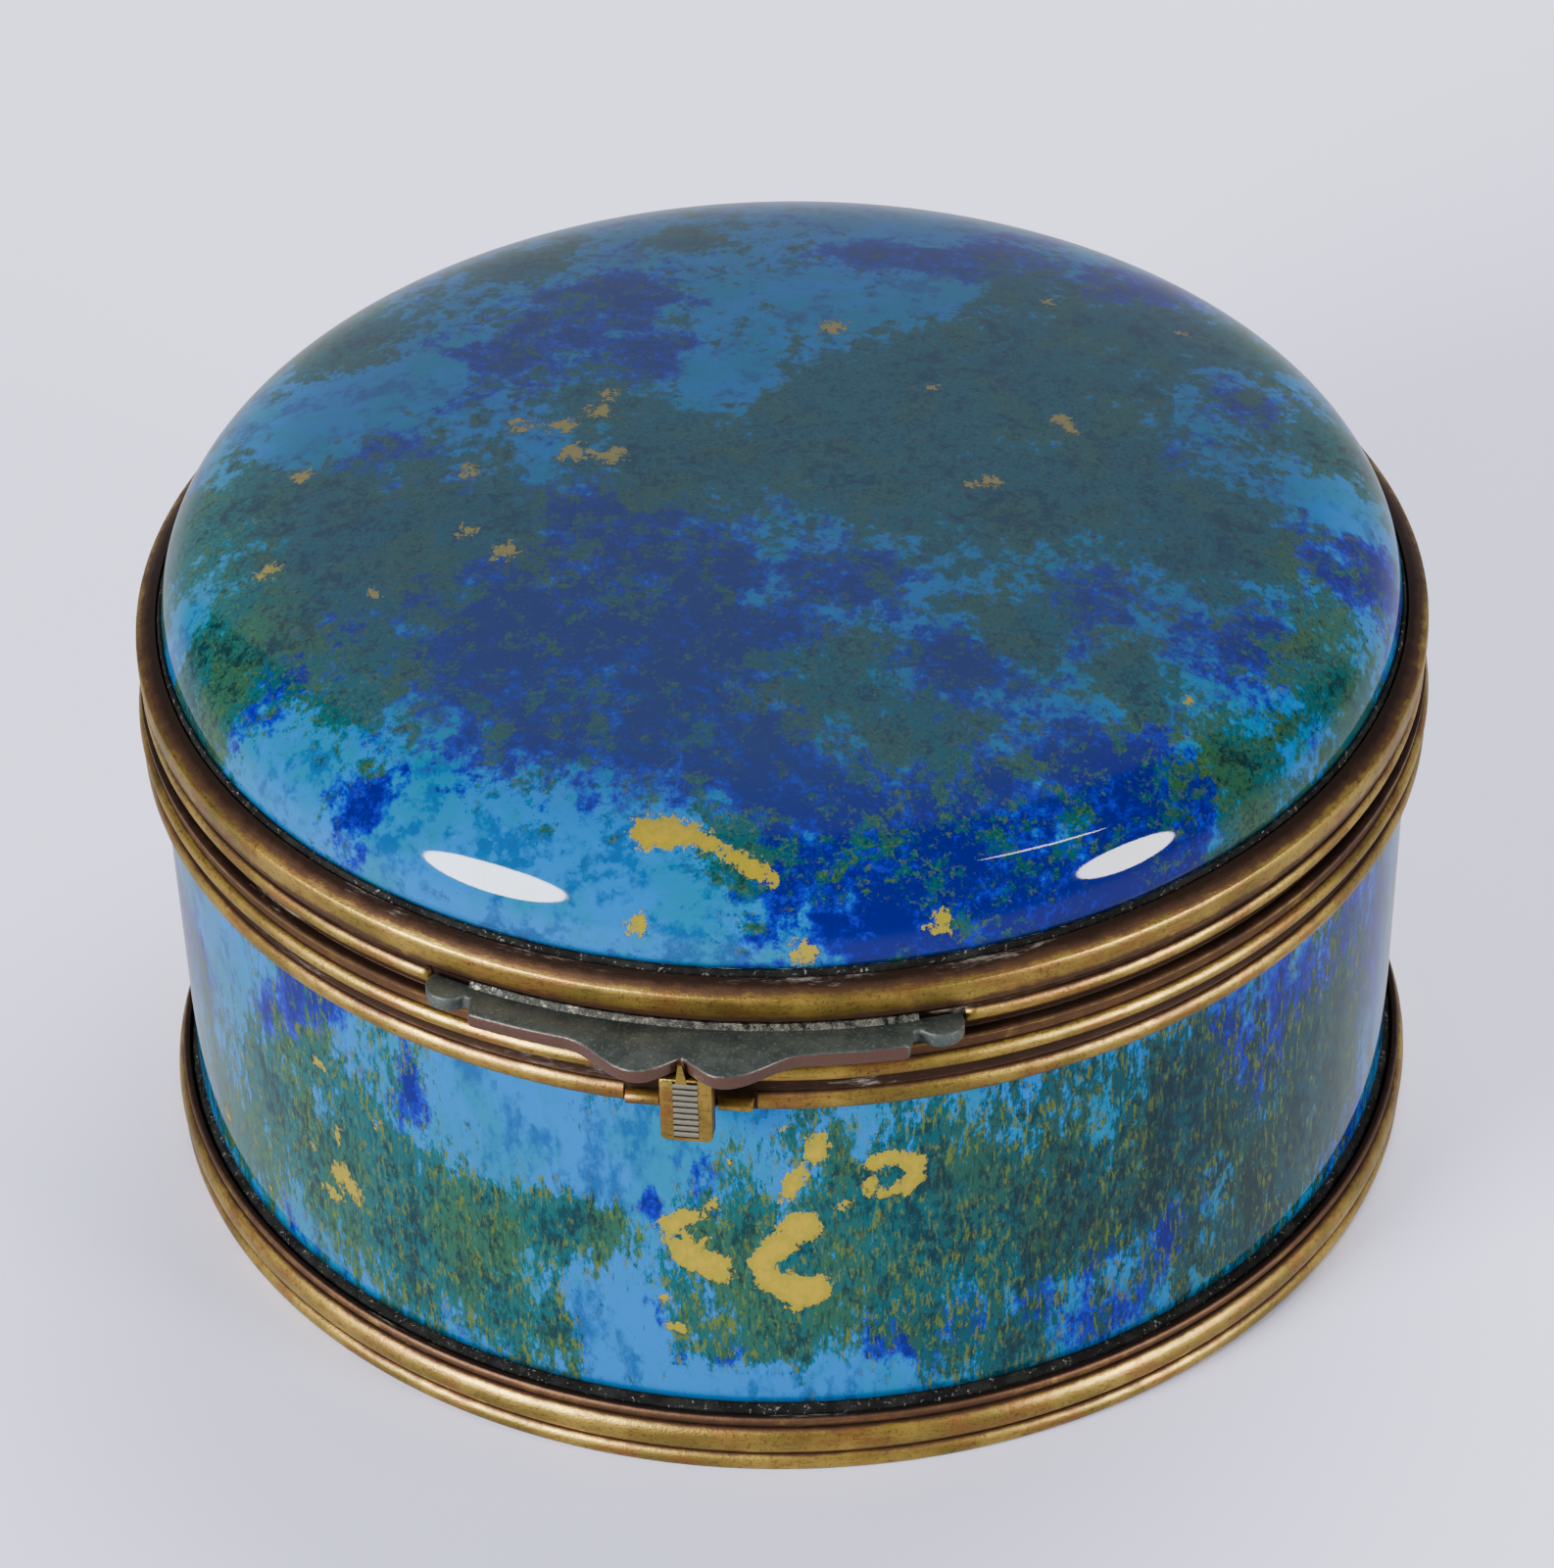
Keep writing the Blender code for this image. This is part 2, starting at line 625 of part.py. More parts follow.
def latch_lever():
    """The sprung lever: a plate with a ribbed panel, an arm to its knuckle and a tongue on top."""
    brass = worn_latch_brass()
    front = latch_axis_y - LEVER_STAND_OFF
    back = front + LEVER_THICKNESS
    bottom = latch_axis_z - LEVER_DROP
    top = lid_bottom - CLEARANCE
    half = LEVER_WIDTH / 2
    inset = half - LEVER_CORNER
    outline = arc((-inset, bottom + LEVER_CORNER), LEVER_CORNER, 180, 270, 3)
    outline += arc((inset, bottom + LEVER_CORNER), LEVER_CORNER, 270, 360, 3)
    outline += [
        (half, top - LEVER_SHOULDER_FALL),
        (TONGUE_WIDTH, top),
        (-TONGUE_WIDTH, top),
        (-half, top - LEVER_SHOULDER_FALL),
    ]
    lever = slab("latch_lever", outline, front, back, brass, "front")
    panel_half = RIB_PANEL_WIDTH / 2
    panel = slab(
        "rib panel",
        rib_outline(front, (front + back) / 2, bottom + 2 * LEVER_CORNER, top - LEVER_CORNER),
        -panel_half, panel_half, brass, "side",
    )
    web_half = LEVER_WEB / 2
    web = slab(
        "lever arm",
        rectangle((front + back) / 2, latch_axis_y, latch_axis_z - web_half / 2, latch_axis_z + web_half),
        -inset, inset, brass, "side",
    )
    knuckle = rod("lever knuckle", LATCH_KNUCKLE_RADIUS, -half, half, latch_axis_y, latch_axis_z, brass)
    for addition in (panel, web, knuckle, latch_tongue(top, front, brass)):
        combine(lever, "UNION", addition)
    bore = rod(
        "lever bore", LATCH_PIN_RADIUS + PIN_CLEARANCE, -half - CLEARANCE, half + CLEARANCE,
        latch_axis_y, latch_axis_z, brass,
    )
    return combine(lever, "DIFFERENCE", bore)


def hinge_pin():
    """The hinge's pin, with a round head at each end."""
    shank = hinge_half_length + CLEARANCE
    head = [
        (0.0, shank + HINGE_HEAD_HEIGHT),
        (HINGE_HEAD_RADIUS * 0.7, shank + HINGE_HEAD_HEIGHT * 0.8),
        (HINGE_HEAD_RADIUS, shank + HINGE_HEAD_HEIGHT * 0.3),
        (HINGE_HEAD_RADIUS, shank),
        (HINGE_PIN_RADIUS, shank),
    ]
    foot = [(radius, -height) for radius, height in reversed(head)]
    pin = turned("hinge_pin", head + foot, pin_brass(), PIN_STEPS, closed=False)
    pin.rotation_euler = (0.0, math.pi / 2, 0.0)
    pin.location = (0.0, hinge_axis_y, hinge_axis_z)
    return pin


def hinge_lug(name, low, high, plate_back, reach, material):
    """A hinge knuckle and its web, seen from the side. Reach runs from the axis along the leaf."""
    way = math.copysign(1.0, reach)
    axis = (hinge_axis_y, hinge_axis_z)
    inside = plate_back - LEAF_THICKNESS / 2
    outline = [(inside, hinge_axis_z + reach), (plate_back, hinge_axis_z + reach)]
    outline += arc(axis, HINGE_BARREL_RADIUS, way * 50, way * -180, 10)
    outline += [(inside, hinge_axis_z + way * HINGE_BARREL_RADIUS * 0.6)]
    return slab(name, outline, low, high, material, "side")


def hinge_leaf(name, bottom, top, ring_radius, reach, knuckles):
    """A leaf that follows its rim, with its knuckles on the pin."""
    brass = aged_brass()
    back = ring_radius + CLEARANCE + LEAF_THICKNESS
    half = hinge_half_length + LEAF_END
    inner = ring_radius * math.cos(math.asin(half / ring_radius)) - LEAF_THICKNESS
    leaf = slab(name, rectangle(-half, half, inner, back), bottom, top, brass)
    for low, high in knuckles:
        lug = hinge_lug(name + " knuckle", low, high, back, reach, brass)
        combine(leaf, "UNION", lug)
    around = turned(
        name + " rim clearance",
        [
            (0.0, hinge_axis_z + 2 * LEAF_HEIGHT),
            (ring_radius + CLEARANCE, hinge_axis_z + 2 * LEAF_HEIGHT),
            (ring_radius + CLEARANCE, hinge_axis_z - 2 * LEAF_HEIGHT),
            (0.0, hinge_axis_z - 2 * LEAF_HEIGHT),
        ],
        brass,
        closed=False,
    )
    combine(leaf, "DIFFERENCE", around)
    bore = rod(
        name + " bore", HINGE_PIN_RADIUS + PIN_CLEARANCE, -2 * hinge_half_length, 2 * hinge_half_length,
        hinge_axis_y, hinge_axis_z, brass,
    )
    return combine(leaf, "DIFFERENCE", bore)


def hinge_leaf_body():
    top = ledge_height - LEAF_MARGIN / 2
    outer = (hinge_outer_start, hinge_half_length)
    return hinge_leaf(
        "hinge_leaf_body", top - LEAF_HEIGHT - LEAF_MARGIN, top, rim_outer_radius,
        top - LEAF_HEIGHT / 2 - hinge_axis_z, [outer, (-outer[1], -outer[0])],
    )


def hinge_leaf_lid():
    bottom = lid_bottom + LEAF_MARGIN
    half = HINGE_MIDDLE_LENGTH / 2
    return hinge_leaf(
        "hinge_leaf_lid", bottom, bottom + LEAF_HEIGHT, lid_outer_radius,
        bottom + LEAF_HEIGHT / 2 - hinge_axis_z, [(-half, half)],
    )


clear_scene()
box_collection = new_collection("Porcelain box")
cutters = new_collection("Cutters")

porcelain_bowl()
base_bedding()
base_ring()
body_rim()
hinge_leaf_body()
hinge_pin()
latch_pin()
latch_knuckle("right", latch_knuckle_start, latch_knuckle_end)
latch_knuckle("left", -latch_knuckle_end, -latch_knuckle_start)

lid_axis = joint_axis("lid_axis", (0.0, hinge_axis_y, hinge_axis_z))
hang_on(lid_axis, lid_rim(), lid_bedding(), porcelain_lid(), thumb_piece(), hinge_leaf_lid())

latch_axis = joint_axis("latch_axis", (0.0, latch_axis_y, latch_axis_z))
hang_on(latch_axis, latch_lever())
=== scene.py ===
# %% [markdown]
# A round porcelain box with a domed lid, glazed in mottled blues and mounted in aged brass.
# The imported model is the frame: its solids say where every piece sits and how the lid and the
# latch move. This file dresses that frame, piece by piece, and leaves its sizes alone.

# %% Load the frame
import math

import bpy
import numpy as np
from mathutils import Matrix, Vector


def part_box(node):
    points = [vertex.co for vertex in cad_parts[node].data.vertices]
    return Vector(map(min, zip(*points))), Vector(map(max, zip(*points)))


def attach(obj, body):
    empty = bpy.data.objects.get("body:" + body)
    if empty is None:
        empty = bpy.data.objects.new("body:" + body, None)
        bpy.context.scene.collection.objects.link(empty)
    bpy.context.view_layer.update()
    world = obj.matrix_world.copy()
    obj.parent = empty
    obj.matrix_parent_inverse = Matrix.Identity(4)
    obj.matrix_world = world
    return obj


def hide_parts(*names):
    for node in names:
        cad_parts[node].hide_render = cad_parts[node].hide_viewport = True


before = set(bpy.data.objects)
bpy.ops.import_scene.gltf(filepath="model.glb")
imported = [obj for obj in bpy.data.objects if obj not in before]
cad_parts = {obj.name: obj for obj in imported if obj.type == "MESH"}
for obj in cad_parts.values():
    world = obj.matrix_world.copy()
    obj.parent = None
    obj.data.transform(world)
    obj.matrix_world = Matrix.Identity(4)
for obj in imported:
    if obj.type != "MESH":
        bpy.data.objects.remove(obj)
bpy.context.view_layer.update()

MM = 0.001
print("nodes:", sorted(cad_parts))

# %% [markdown]
# Sizes come from the frame, in millimetres. A mount's box gives its lowest and highest level and
# its greatest radius. The heights of its mouldings are named beside the piece that has them.

# %% Read the levels and radii off the frame


def levels(node):
    """Lowest level, highest level and greatest radius of a turned node, in millimetres."""
    low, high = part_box(node)
    return low.z / MM, high.z / MM, high.x / MM


rim_low, rim_top, rim_radius = levels("body_rim")
lid_low, lid_top, lid_radius = levels("lid_rim")
base_low, base_top, _ = levels("base_ring")
bowl_low, bowl_top, wall_radius = levels("porcelain_bowl")
dome_low, crown, dome_radius = levels("porcelain_lid")
print(f"rim {rim_low:.2f} to {rim_top:.2f}, radius {rim_radius:.2f} mm; crown at {crown:.2f} mm")

# %% [markdown]
# The camera stands to the right of the latch and looks down at the box through a long lens, as a
# photographer of small objects would do it. Its tilt and turn are named angles, and a slight lean
# of the picture is kept, because it shows in the foot ring.

# %% Camera
LENS_MM = 135
CAMERA_PLACE = Vector((65.44, -440.76, 374.59)) * MM
CAMERA_TURN = math.radians(8.55)
CAMERA_TILT = math.radians(90 - 37.47)
CAMERA_LEAN = math.radians(-1.30)

camera_data = bpy.data.cameras.new("Camera")
camera_data.lens = LENS_MM
camera_data.sensor_width = 36
camera_data.clip_start = 0.01
camera = bpy.data.objects.new("Camera", camera_data)
bpy.context.scene.collection.objects.link(camera)
camera.matrix_world = (
    Matrix.Translation(CAMERA_PLACE)
    @ Matrix.Rotation(CAMERA_TURN, 4, "Z")
    @ Matrix.Rotation(CAMERA_TILT, 4, "X")
    @ Matrix.Rotation(CAMERA_LEAN, 4, "Z")
)
bpy.context.scene.camera = camera
print("camera at", [round(c, 3) for c in camera.location])

# %% [markdown]
# Materials are built from a few small steps that repeat: a cloud of noise at a real size, a soft
# threshold that turns it into a mask, and a blend of two colours by that mask. Each step is a
# function here, so that a glaze or a patina can be read as a recipe further down.

# %% Helpers for materials


def surface(name, roughness=0.5, metallic=0.0):
    """A new material and its shader, with the values that are the same all over."""
    material = bpy.data.materials.new(name)
    material.use_nodes = True
    shader = material.node_tree.nodes["Principled BSDF"]
    shader.inputs["Roughness"].default_value = roughness
    shader.inputs["Metallic"].default_value = metallic
    return material, shader


def join_up(value, socket):
    """Feeds a number, a colour or another node's output into a socket."""
    if isinstance(value, bpy.types.NodeSocket):
        socket.id_data.links.new(value, socket)
    else:
        socket.default_value = value


def node_after(value, kind, inputs, **settings):
    """A new node in the material that value belongs to, with its settings and its inputs."""
    node = value.id_data.nodes.new("ShaderNode" + kind)
    for setting, choice in settings.items():
        setattr(node, setting, choice)
    for socket, content in inputs.items():
        join_up(content, node.inputs[socket])
    return node


def object_space(material, scale=(1, 1, 1), shift=(0, 0, 0)):
    """The piece's own coordinates, stretched where a pattern runs or drips."""
    place = material.node_tree.nodes.new("ShaderNodeTexCoord").outputs["Object"]
    mapping = node_after(place, "Mapping", {"Vector": place, "Scale": scale, "Location": shift})
    return mapping.outputs["Vector"]


def split_up(where):
    """The X, Y and Z of a place."""
    return node_after(where, "SeparateXYZ", {"Vector": where}).outputs


def painted(material, name):
    """A value that was painted on the mesh."""
    node = material.node_tree.nodes.new("ShaderNodeAttribute")
    node.attribute_name = name
    return node.outputs["Fac"]


def cloud(where, size, detail=4.0, rough=0.55, warp=0.0):
    """Noise whose blotches are about size millimetres across."""
    inputs = {"Vector": where, "Scale": 1 / (size * MM)}
    inputs.update({"Detail": detail, "Roughness": rough, "Distortion": warp})
    return node_after(where, "TexNoise", inputs).outputs["Fac"]


def maths(operation, first, second=0.0):
    return node_after(first, "Math", {0: first, 1: second}, operation=operation).outputs[0]


def times(first, second):
    return maths("MULTIPLY", first, second)


def sum_up(*parts):
    """Adds up (value, weight) pairs, of which the first value is a node's output."""
    total = 0.0
    for value, weight in parts:
        inputs = {0: value, 1: weight, 2: total}
        total = node_after(parts[0][0], "Math", inputs, operation="MULTIPLY_ADD").outputs[0]
    return total


def soft_step(value, low, high, to_low=0.0, to_high=1.0):
    """A mask: to_low below low, to_high above high, and smooth between them."""
    inputs = {"Value": value, "From Min": low, "From Max": high, "To Min": to_low, "To Max": to_high}
    return node_after(value, "MapRange", inputs, interpolation_type="SMOOTHSTEP").outputs["Result"]


def blend(mask, below, above):
    """One colour laid over another where the mask says so."""
    below, above = ((*c, 1.0) if isinstance(c, tuple) else c for c in (below, above))
    return node_after(mask, "Mix", {0: mask, 6: below, 7: above}, data_type="RGBA").outputs[2]


def layer(colour, above, value, low, high, share=1.0):
    """Lays one more colour on where value rises from low to high, up to a share of it."""
    return blend(soft_step(value, low, high, 0.0, share), colour, above)


def relief(shader, height, depth_mm, strength=1.0):
    """Fine relief that is too small to be modelled."""
    bump = node_after(height, "Bump", {"Height": height, "Strength": strength, "Distance": depth_mm * MM})
    join_up(bump.outputs["Normal"], shader.inputs["Normal"])


# %% [markdown]
# The glaze: a sky-blue and turquoise ground, royal and deep cobalt that has flowed down the wall,
# a green veil that breaks up into fine ochre specks at its edges, and flat blobs of dull gold.
# Every layer is a soft threshold of noise plus a painted amount, so that the broad areas lie
# where they do on the real box while their edges break up at random. On the wall the noise is
# stretched upright, because the glaze ran there. A painted reflection dulls and darkens the lid's
# flat crown from 65 mm up, over the gold too, and the shoulder stays clear. Painted shade darkens
# the green on the wall's right-hand side.

# %% Glaze colours
SKY_BLUE = (0.000, 0.086, 0.262)
TURQUOISE = (0.000, 0.088, 0.175)
STEEL_BLUE = (0.004, 0.036, 0.125)
ROYAL_COBALT = (0.001, 0.007, 0.205)
DEEP_COBALT = (0.001, 0.002, 0.062)
SLATE_GREEN = (0.002, 0.042, 0.038)
OLIVE_GREEN = (0.010, 0.044, 0.016)
NIGHT_GREEN = (0.001, 0.008, 0.014)
OCHRE_GRAIN = (0.050, 0.070, 0.008)
DULL_GOLD = (0.165, 0.132, 0.009)
TAN_GOLD = (0.215, 0.150, 0.010)
CROWN_REFLECTION = (0.010, 0.021, 0.042)

# %% The outer glaze
DRIP = 1.6
# Painted reflection over the crown, from 65 mm up to full at 70 mm.
REFLECTION_FROM, REFLECTION_FULL = 65.0 * MM, 70.0 * MM
# Painted shade on the wall's green is full this far to the right of the latch.
RIGHT_SHADE_FULL = 45.0 * MM


def outer_glaze(name, run, seed, stipple, grain_share, crown_reflection, right_shade, gloss):
    """run is how far the glaze has run: 1 on the lid, more on the upright wall. The crown's share is how
    much a painted reflection dulls and darkens the crown, the right-hand share how much painted shade darkens
    the right-hand side."""
    material, shader = surface(name, roughness=0.045)
    shader.inputs["IOR"].default_value = 1.5
    shader.inputs["Specular IOR Level"].default_value = gloss
    broad = object_space(material, (1, 1, 1 / run), (seed, 0, 0))
    drips = object_space(material, (1, 1, 1 / run ** DRIP), (0, seed, 0))
    still = object_space(material, (1, 1, 1 / math.sqrt(run)), (0, 0, seed))
    patches = cloud(broad, 9, 7, 0.66, 0.4)
    streaks = cloud(drips, 2.8, 7, 0.70)
    flow = cloud(object_space(material, (1, 1, 1 / run ** DRIP), (0, seed, 5)), 3.6, 7, 0.68)
    mottle = cloud(still, 1.1, 5, 0.70)
    fine = cloud(still, 0.42, 3, 0.75)

    colour = blend(soft_step(patches, 0.42, 0.58), SKY_BLUE, TURQUOISE)
    haze = sum_up((cloud(broad, 5, 6, 0.66), 0.6), (streaks, 0.5), (mottle, 0.35))
    colour = layer(colour, STEEL_BLUE, haze, 0.71, 0.83, 0.85)

    cobalt = sum_up((patches, 0.5), (flow, 0.90), (mottle, 0.40), (painted(material, "cobalt"), 0.30))
    colour = layer(colour, ROYAL_COBALT, cobalt, 0.96, 1.10)
    deep = sum_up((cobalt, 1.0), (fine, 0.35), (mottle, 0.3))
    colour = layer(colour, DEEP_COBALT, deep, 1.34, 1.54, 0.9)

    specks = cloud(drips, 0.6, 4, 0.75)
    green = sum_up((patches, -0.50), (streaks, 0.90), (mottle, 0.50), (specks, stipple))
    green = sum_up((green, 1.0), (painted(material, "green"), 0.27), (0.45 + 0.5 * stipple, -1.0))
    veil = soft_step(green, 0.01, 0.13, 0.0, 0.95)
    tint = blend(soft_step(cloud(broad, 6, 4), 0.46, 0.62), SLATE_GREEN, OLIVE_GREEN)
    # Painted shade: the green grows darker towards the right-hand side, and the murk below takes a little of
    # it too.
    painted_right_shade = soft_step(split_up(object_space(material))["X"], 0.0, RIGHT_SHADE_FULL, 0.0, right_shade)
    tint = blend(painted_right_shade, tint, NIGHT_GREEN)
    colour = blend(veil, colour, tint)
    murk = sum_up((green, 0.6), (mottle, 0.8), (cloud(broad, 5, 4), 0.6), (painted_right_shade, 0.12))
    colour = layer(colour, NIGHT_GREEN, murk, 0.84, 1.02, 0.7)

    fringe = times(soft_step(green, -0.06, 0.06), soft_step(green, 0.22, 0.40, 1.0, 0.3))
    grains = sum_up((cloud(drips, 0.5, 4, 0.75), 1.0), (mottle, 0.2))
    grain = times(soft_step(grains, 0.63, 0.70, 0.0, grain_share), fringe)
    colour = blend(grain, colour, OCHRE_GRAIN)
    pits = sum_up((cloud(drips, 0.36, 2, 0.6), 1.0), (green, 0.40))
    colour = layer(colour, NIGHT_GREEN, pits, 0.63, 0.71, 0.5)

    flecks = sum_up((cloud(still, 0.9, 5, 0.75), 1.25), (painted(material, "gold"), 0.62))
    gold = soft_step(flecks, 0.89, 0.95)
    rim = soft_step(flecks, 0.85, 0.91, 0.0, 0.5)
    colour = blend(rim, colour, NIGHT_GREEN)
    warm = soft_step(flecks, 1.10, 1.28)
    colour = blend(gold, colour, blend(warm, DULL_GOLD, TAN_GOLD))
    # Painted reflection: a dull dark veil over the crown from 65 mm up, over the gold too.
    crown_reflection_mask = soft_step(split_up(object_space(material))["Z"], REFLECTION_FROM, REFLECTION_FULL, 0.0, crown_reflection)
    colour = blend(crown_reflection_mask, colour, CROWN_REFLECTION)
    # Painted shade and thicker glaze: a dark line up from the glaze's lower edge, by the bedding.
    colour = blend(painted(material, "edge"), colour, NIGHT_GREEN)
    join_up(colour, shader.inputs["Base Color"])
    join_up(soft_step(gold, 0.0, 1.0, 0.045, 0.16), shader.inputs["Roughness"])

    skin = sum_up((cloud(still, 7, 2), 0.06), (gold, 0.9), (mottle, 0.02))
    relief(shader, skin, 0.12, 0.6)
    return material


# The lid gets painted reflection on its crown; the wall gets painted shade on its right-hand side.
lid_glaze = outer_glaze("lid glaze", 1.0, 0.31, 0.15, 0.4, 0.58, 0.0, gloss=0.45)
wall_glaze = outer_glaze("wall glaze", 2.2, 0.47, 0.6, 0.85, 0.0, 0.5, gloss=0.24)
print("glazes:", lid_glaze.name, "and", wall_glaze.name)

# %% [markdown]
# Inside, such boxes are usually glazed in one plain pale colour. Nothing of the inside shows in
# the photograph, so it stays quiet: a bluish white with a faint fine crackle.

# %% The inner glaze
CRACKLE_CELL = 3.2


def inner_glaze():
    material, shader = surface("inner glaze", roughness=0.12)
    where = object_space(material)
    tone = soft_step(cloud(where, 18, 3), 0.35, 0.65)
    colour = blend(tone, (0.62, 0.72, 0.74), (0.70, 0.76, 0.74))
    spread = {"Vector": where, "Scale": 1 / (CRACKLE_CELL * MM)}
    cells = node_after(where, "TexVoronoi", spread, feature="DISTANCE_TO_EDGE")
    crackle = soft_step(cells.outputs["Distance"], 0.0, 0.03, 0.35, 0.0)
    colour = blend(crackle, colour, (0.34, 0.40, 0.40))
    join_up(colour, shader.inputs["Base Color"])
    return material


plain_glaze = inner_glaze()

# %% [markdown]
# The mounts are brass that was never polished again. The raised mouldings are rubbed to a dull
# gold, coppery in patches, and the ledges and hollows have gone brown. The marks of turning and
# rubbing run round the box, so their noise is drawn out along the circle. How deep a place lies is
# painted on each mount when it is turned, as "grime", and where polish has dried as "chalk".

# %% Brass colours
RUBBED_GOLD = (0.560, 0.370, 0.082)
OLIVE_GOLD = (0.280, 0.195, 0.046)
COPPER_GLOW = (0.335, 0.150, 0.048)
BROWN_TARNISH = (0.110, 0.058, 0.034)
DARK_TARNISH = (0.030, 0.019, 0.015)
CHALK = (0.115, 0.104, 0.086)


# %% Aged brass


def round_the_axis(material, stretch=6):
    """Coordinates that make a pattern run round the box, as the marks of turning and rubbing do."""
    x, y, z = split_up(object_space(material))
    radius = maths("SQRT", sum_up((x, x), (y, y)))
    way_round = times(maths("ARCTAN2", x, y), rim_radius * MM / stretch)
    return node_after(x, "CombineXYZ", {"X": way_round, "Y": radius, "Z": z}).outputs["Vector"]


def aged_brass(name, tarnish=0.0, shine=0.28):
    """tarnish moves the brown out of the hollows and over the mouldings."""
    material, shader = surface(name, roughness=shine, metallic=1.0)
    where = object_space(material)
    grime = painted(material, "grime")
    patches = cloud(where, 9, 4)
    sand = cloud(where, 0.45, 3, 0.7)
    ring = round_the_axis(material)
    rubs = cloud(ring, 0.30, 4, 0.75)
    bands = cloud(ring, 1.1, 4, 0.7)
    colour = blend(soft_step(patches, 0.38, 0.66), RUBBED_GOLD, OLIVE_GOLD)
    glow = sum_up((cloud(where, 5, 4), 0.7), (bands, 0.5))
    colour = layer(colour, COPPER_GLOW, glow, 0.57, 0.71, 0.75)
    colour = layer(colour, BROWN_TARNISH, sand, 0.54, 0.66, 0.5)
    colour = layer(colour, BROWN_TARNISH, rubs, 0.54, 0.68, 0.6)
    pits = cloud(where, 0.22, 2, 0.6)
    colour = layer(colour, DARK_TARNISH, pits, 0.64, 0.70, 0.7)

    dirt = sum_up((grime, 1.0), (cloud(where, 1.6, 5, 0.7), 0.6), (bands, 0.4), (patches, 0.3))
    brown = soft_step(dirt, 0.92 - tarnish, 1.28 - tarnish)
    colour = blend(brown, colour, BROWN_TARNISH)
    dark = times(soft_step(dirt, 1.25 - tarnish, 1.65 - tarnish), 0.8)
    colour = blend(dark, colour, DARK_TARNISH)

    dust = sum_up((painted(material, "chalk"), 1.0), (cloud(ring, 0.7, 4, 0.8), 1.0))
    chalk = soft_step(dust, 0.98, 1.20, 0.0, 0.8)
    colour = blend(chalk, colour, CHALK)
    join_up(colour, shader.inputs["Base Color"])
    join_up(soft_step(chalk, 0.0, 1.0, 1.0, 0.1), shader.inputs["Metallic"])
    rough = sum_up((brown, 0.16), (rubs, 0.16), (chalk, 0.25), (shine, 1.0))
    join_up(rough, shader.inputs["Roughness"])
    height = sum_up((sand, 0.5), (patches, 0.4), (rubs, 0.5), (pits, -0.5))
    relief(shader, height, 0.06, 0.7)
    return material


brass = aged_brass("aged brass", tarnish=0.04, shine=0.31)
latch_brass = aged_brass("worn latch brass", tarnish=0.05, shine=0.26)
pin_brass = aged_brass("pin brass", tarnish=0.15, shine=0.42)

# %% [markdown]
# The thumb piece has a different skin: a dark slate green, almost black, speckled with grey and
# coppery brown along its worn front edge. The bedding between porcelain and brass is black
# with pale specks.

# %% Patina and bedding
PATINA_DARK = (0.015, 0.022, 0.020)
PATINA_PALE = (0.042, 0.050, 0.043)
PATINA_SPECK = (0.130, 0.132, 0.110)
COPPER_EDGE = (0.052, 0.024, 0.016)
BEDDING_BLACK = (0.0015, 0.0015, 0.0015)
BEDDING_SOOT = (0.007, 0.008, 0.007)
BEDDING_SPECK = (0.14, 0.135, 0.125)


def dark_patina():
    material, shader = surface("dark patina", roughness=0.5, metallic=0.35)
    where = object_space(material)
    tone = soft_step(cloud(where, 3, 5, 0.75), 0.35, 0.68)
    colour = blend(tone, PATINA_DARK, PATINA_PALE)
    specks = soft_step(cloud(where, 0.32, 4, 0.8), 0.54, 0.68)
    colour = blend(times(specks, 0.6), colour, PATINA_SPECK)
    worn = sum_up((painted(material, "grime"), 1.0), (cloud(where, 1.4, 4, 0.7), 0.6))
    copper = soft_step(worn, 0.95, 1.25)
    colour = blend(copper, colour, COPPER_EDGE)
    dust = sum_up((painted(material, "chalk"), 1.0), (cloud(where, 0.9, 4, 0.8), 0.8))
    colour = layer(colour, CHALK, dust, 1.0, 1.2)
    join_up(colour, shader.inputs["Base Color"])
    join_up(soft_step(copper, 0.0, 1.0, 0.52, 0.34), shader.inputs["Roughness"])
    relief(shader, sum_up((specks, 0.5), (tone, 0.5)), 0.05, 0.5)
    return material


def black_bedding():
    material, shader = surface("black bedding", roughness=0.8)
    shader.inputs["Specular IOR Level"].default_value = 0.12
    where = object_space(material)
    tone = soft_step(cloud(where, 2, 4), 0.4, 0.65)
    colour = blend(tone, BEDDING_BLACK, BEDDING_SOOT)
    grey = soft_step(cloud(where, 0.45, 3, 0.8), 0.60, 0.68)
    colour = blend(times(grey, 0.8), colour, BEDDING_SPECK)
    join_up(colour, shader.inputs["Base Color"])
    relief(shader, cloud(where, 0.6, 4, 0.7), 0.15, 0.8)
    return material


patina = dark_patina()
bedding = black_bedding()

# %% [markdown]
# Every round piece is turned, as on a lathe: one vertex is extruded from point to point down its
# profile, and the line is then spun round the axis. That takes few steps, and a profile reads
# like the template that a metal spinner would file.

# %% Turning
SPIN_STEPS = 240
GLAZE_SPIN_STEPS = 480
SAME_PLACE = 0.002 * MM


def new_piece(name):
    """Names the primitive that was just added."""
    piece = bpy.context.object
    piece.name = piece.data.name = name
    return piece


def draw_line(name, points):
    """One vertex, extruded from point to point. Points are (x, y, z) in millimetres."""
    bpy.ops.object.select_all(action="DESELECT")
    bpy.ops.mesh.primitive_plane_add(size=MM)
    piece = new_piece(name)
    bpy.ops.object.mode_set(mode="EDIT")
    bpy.ops.mesh.select_all(action="SELECT")
    bpy.ops.mesh.merge(type="CENTER")
    places = [Vector(point) * MM for point in points]
    bpy.ops.transform.translate(value=places[0])
    for here, there in zip(places, places[1:]):
        bpy.ops.mesh.extrude_vertices_move(TRANSFORM_OT_translate={"value": there - here})
    return piece


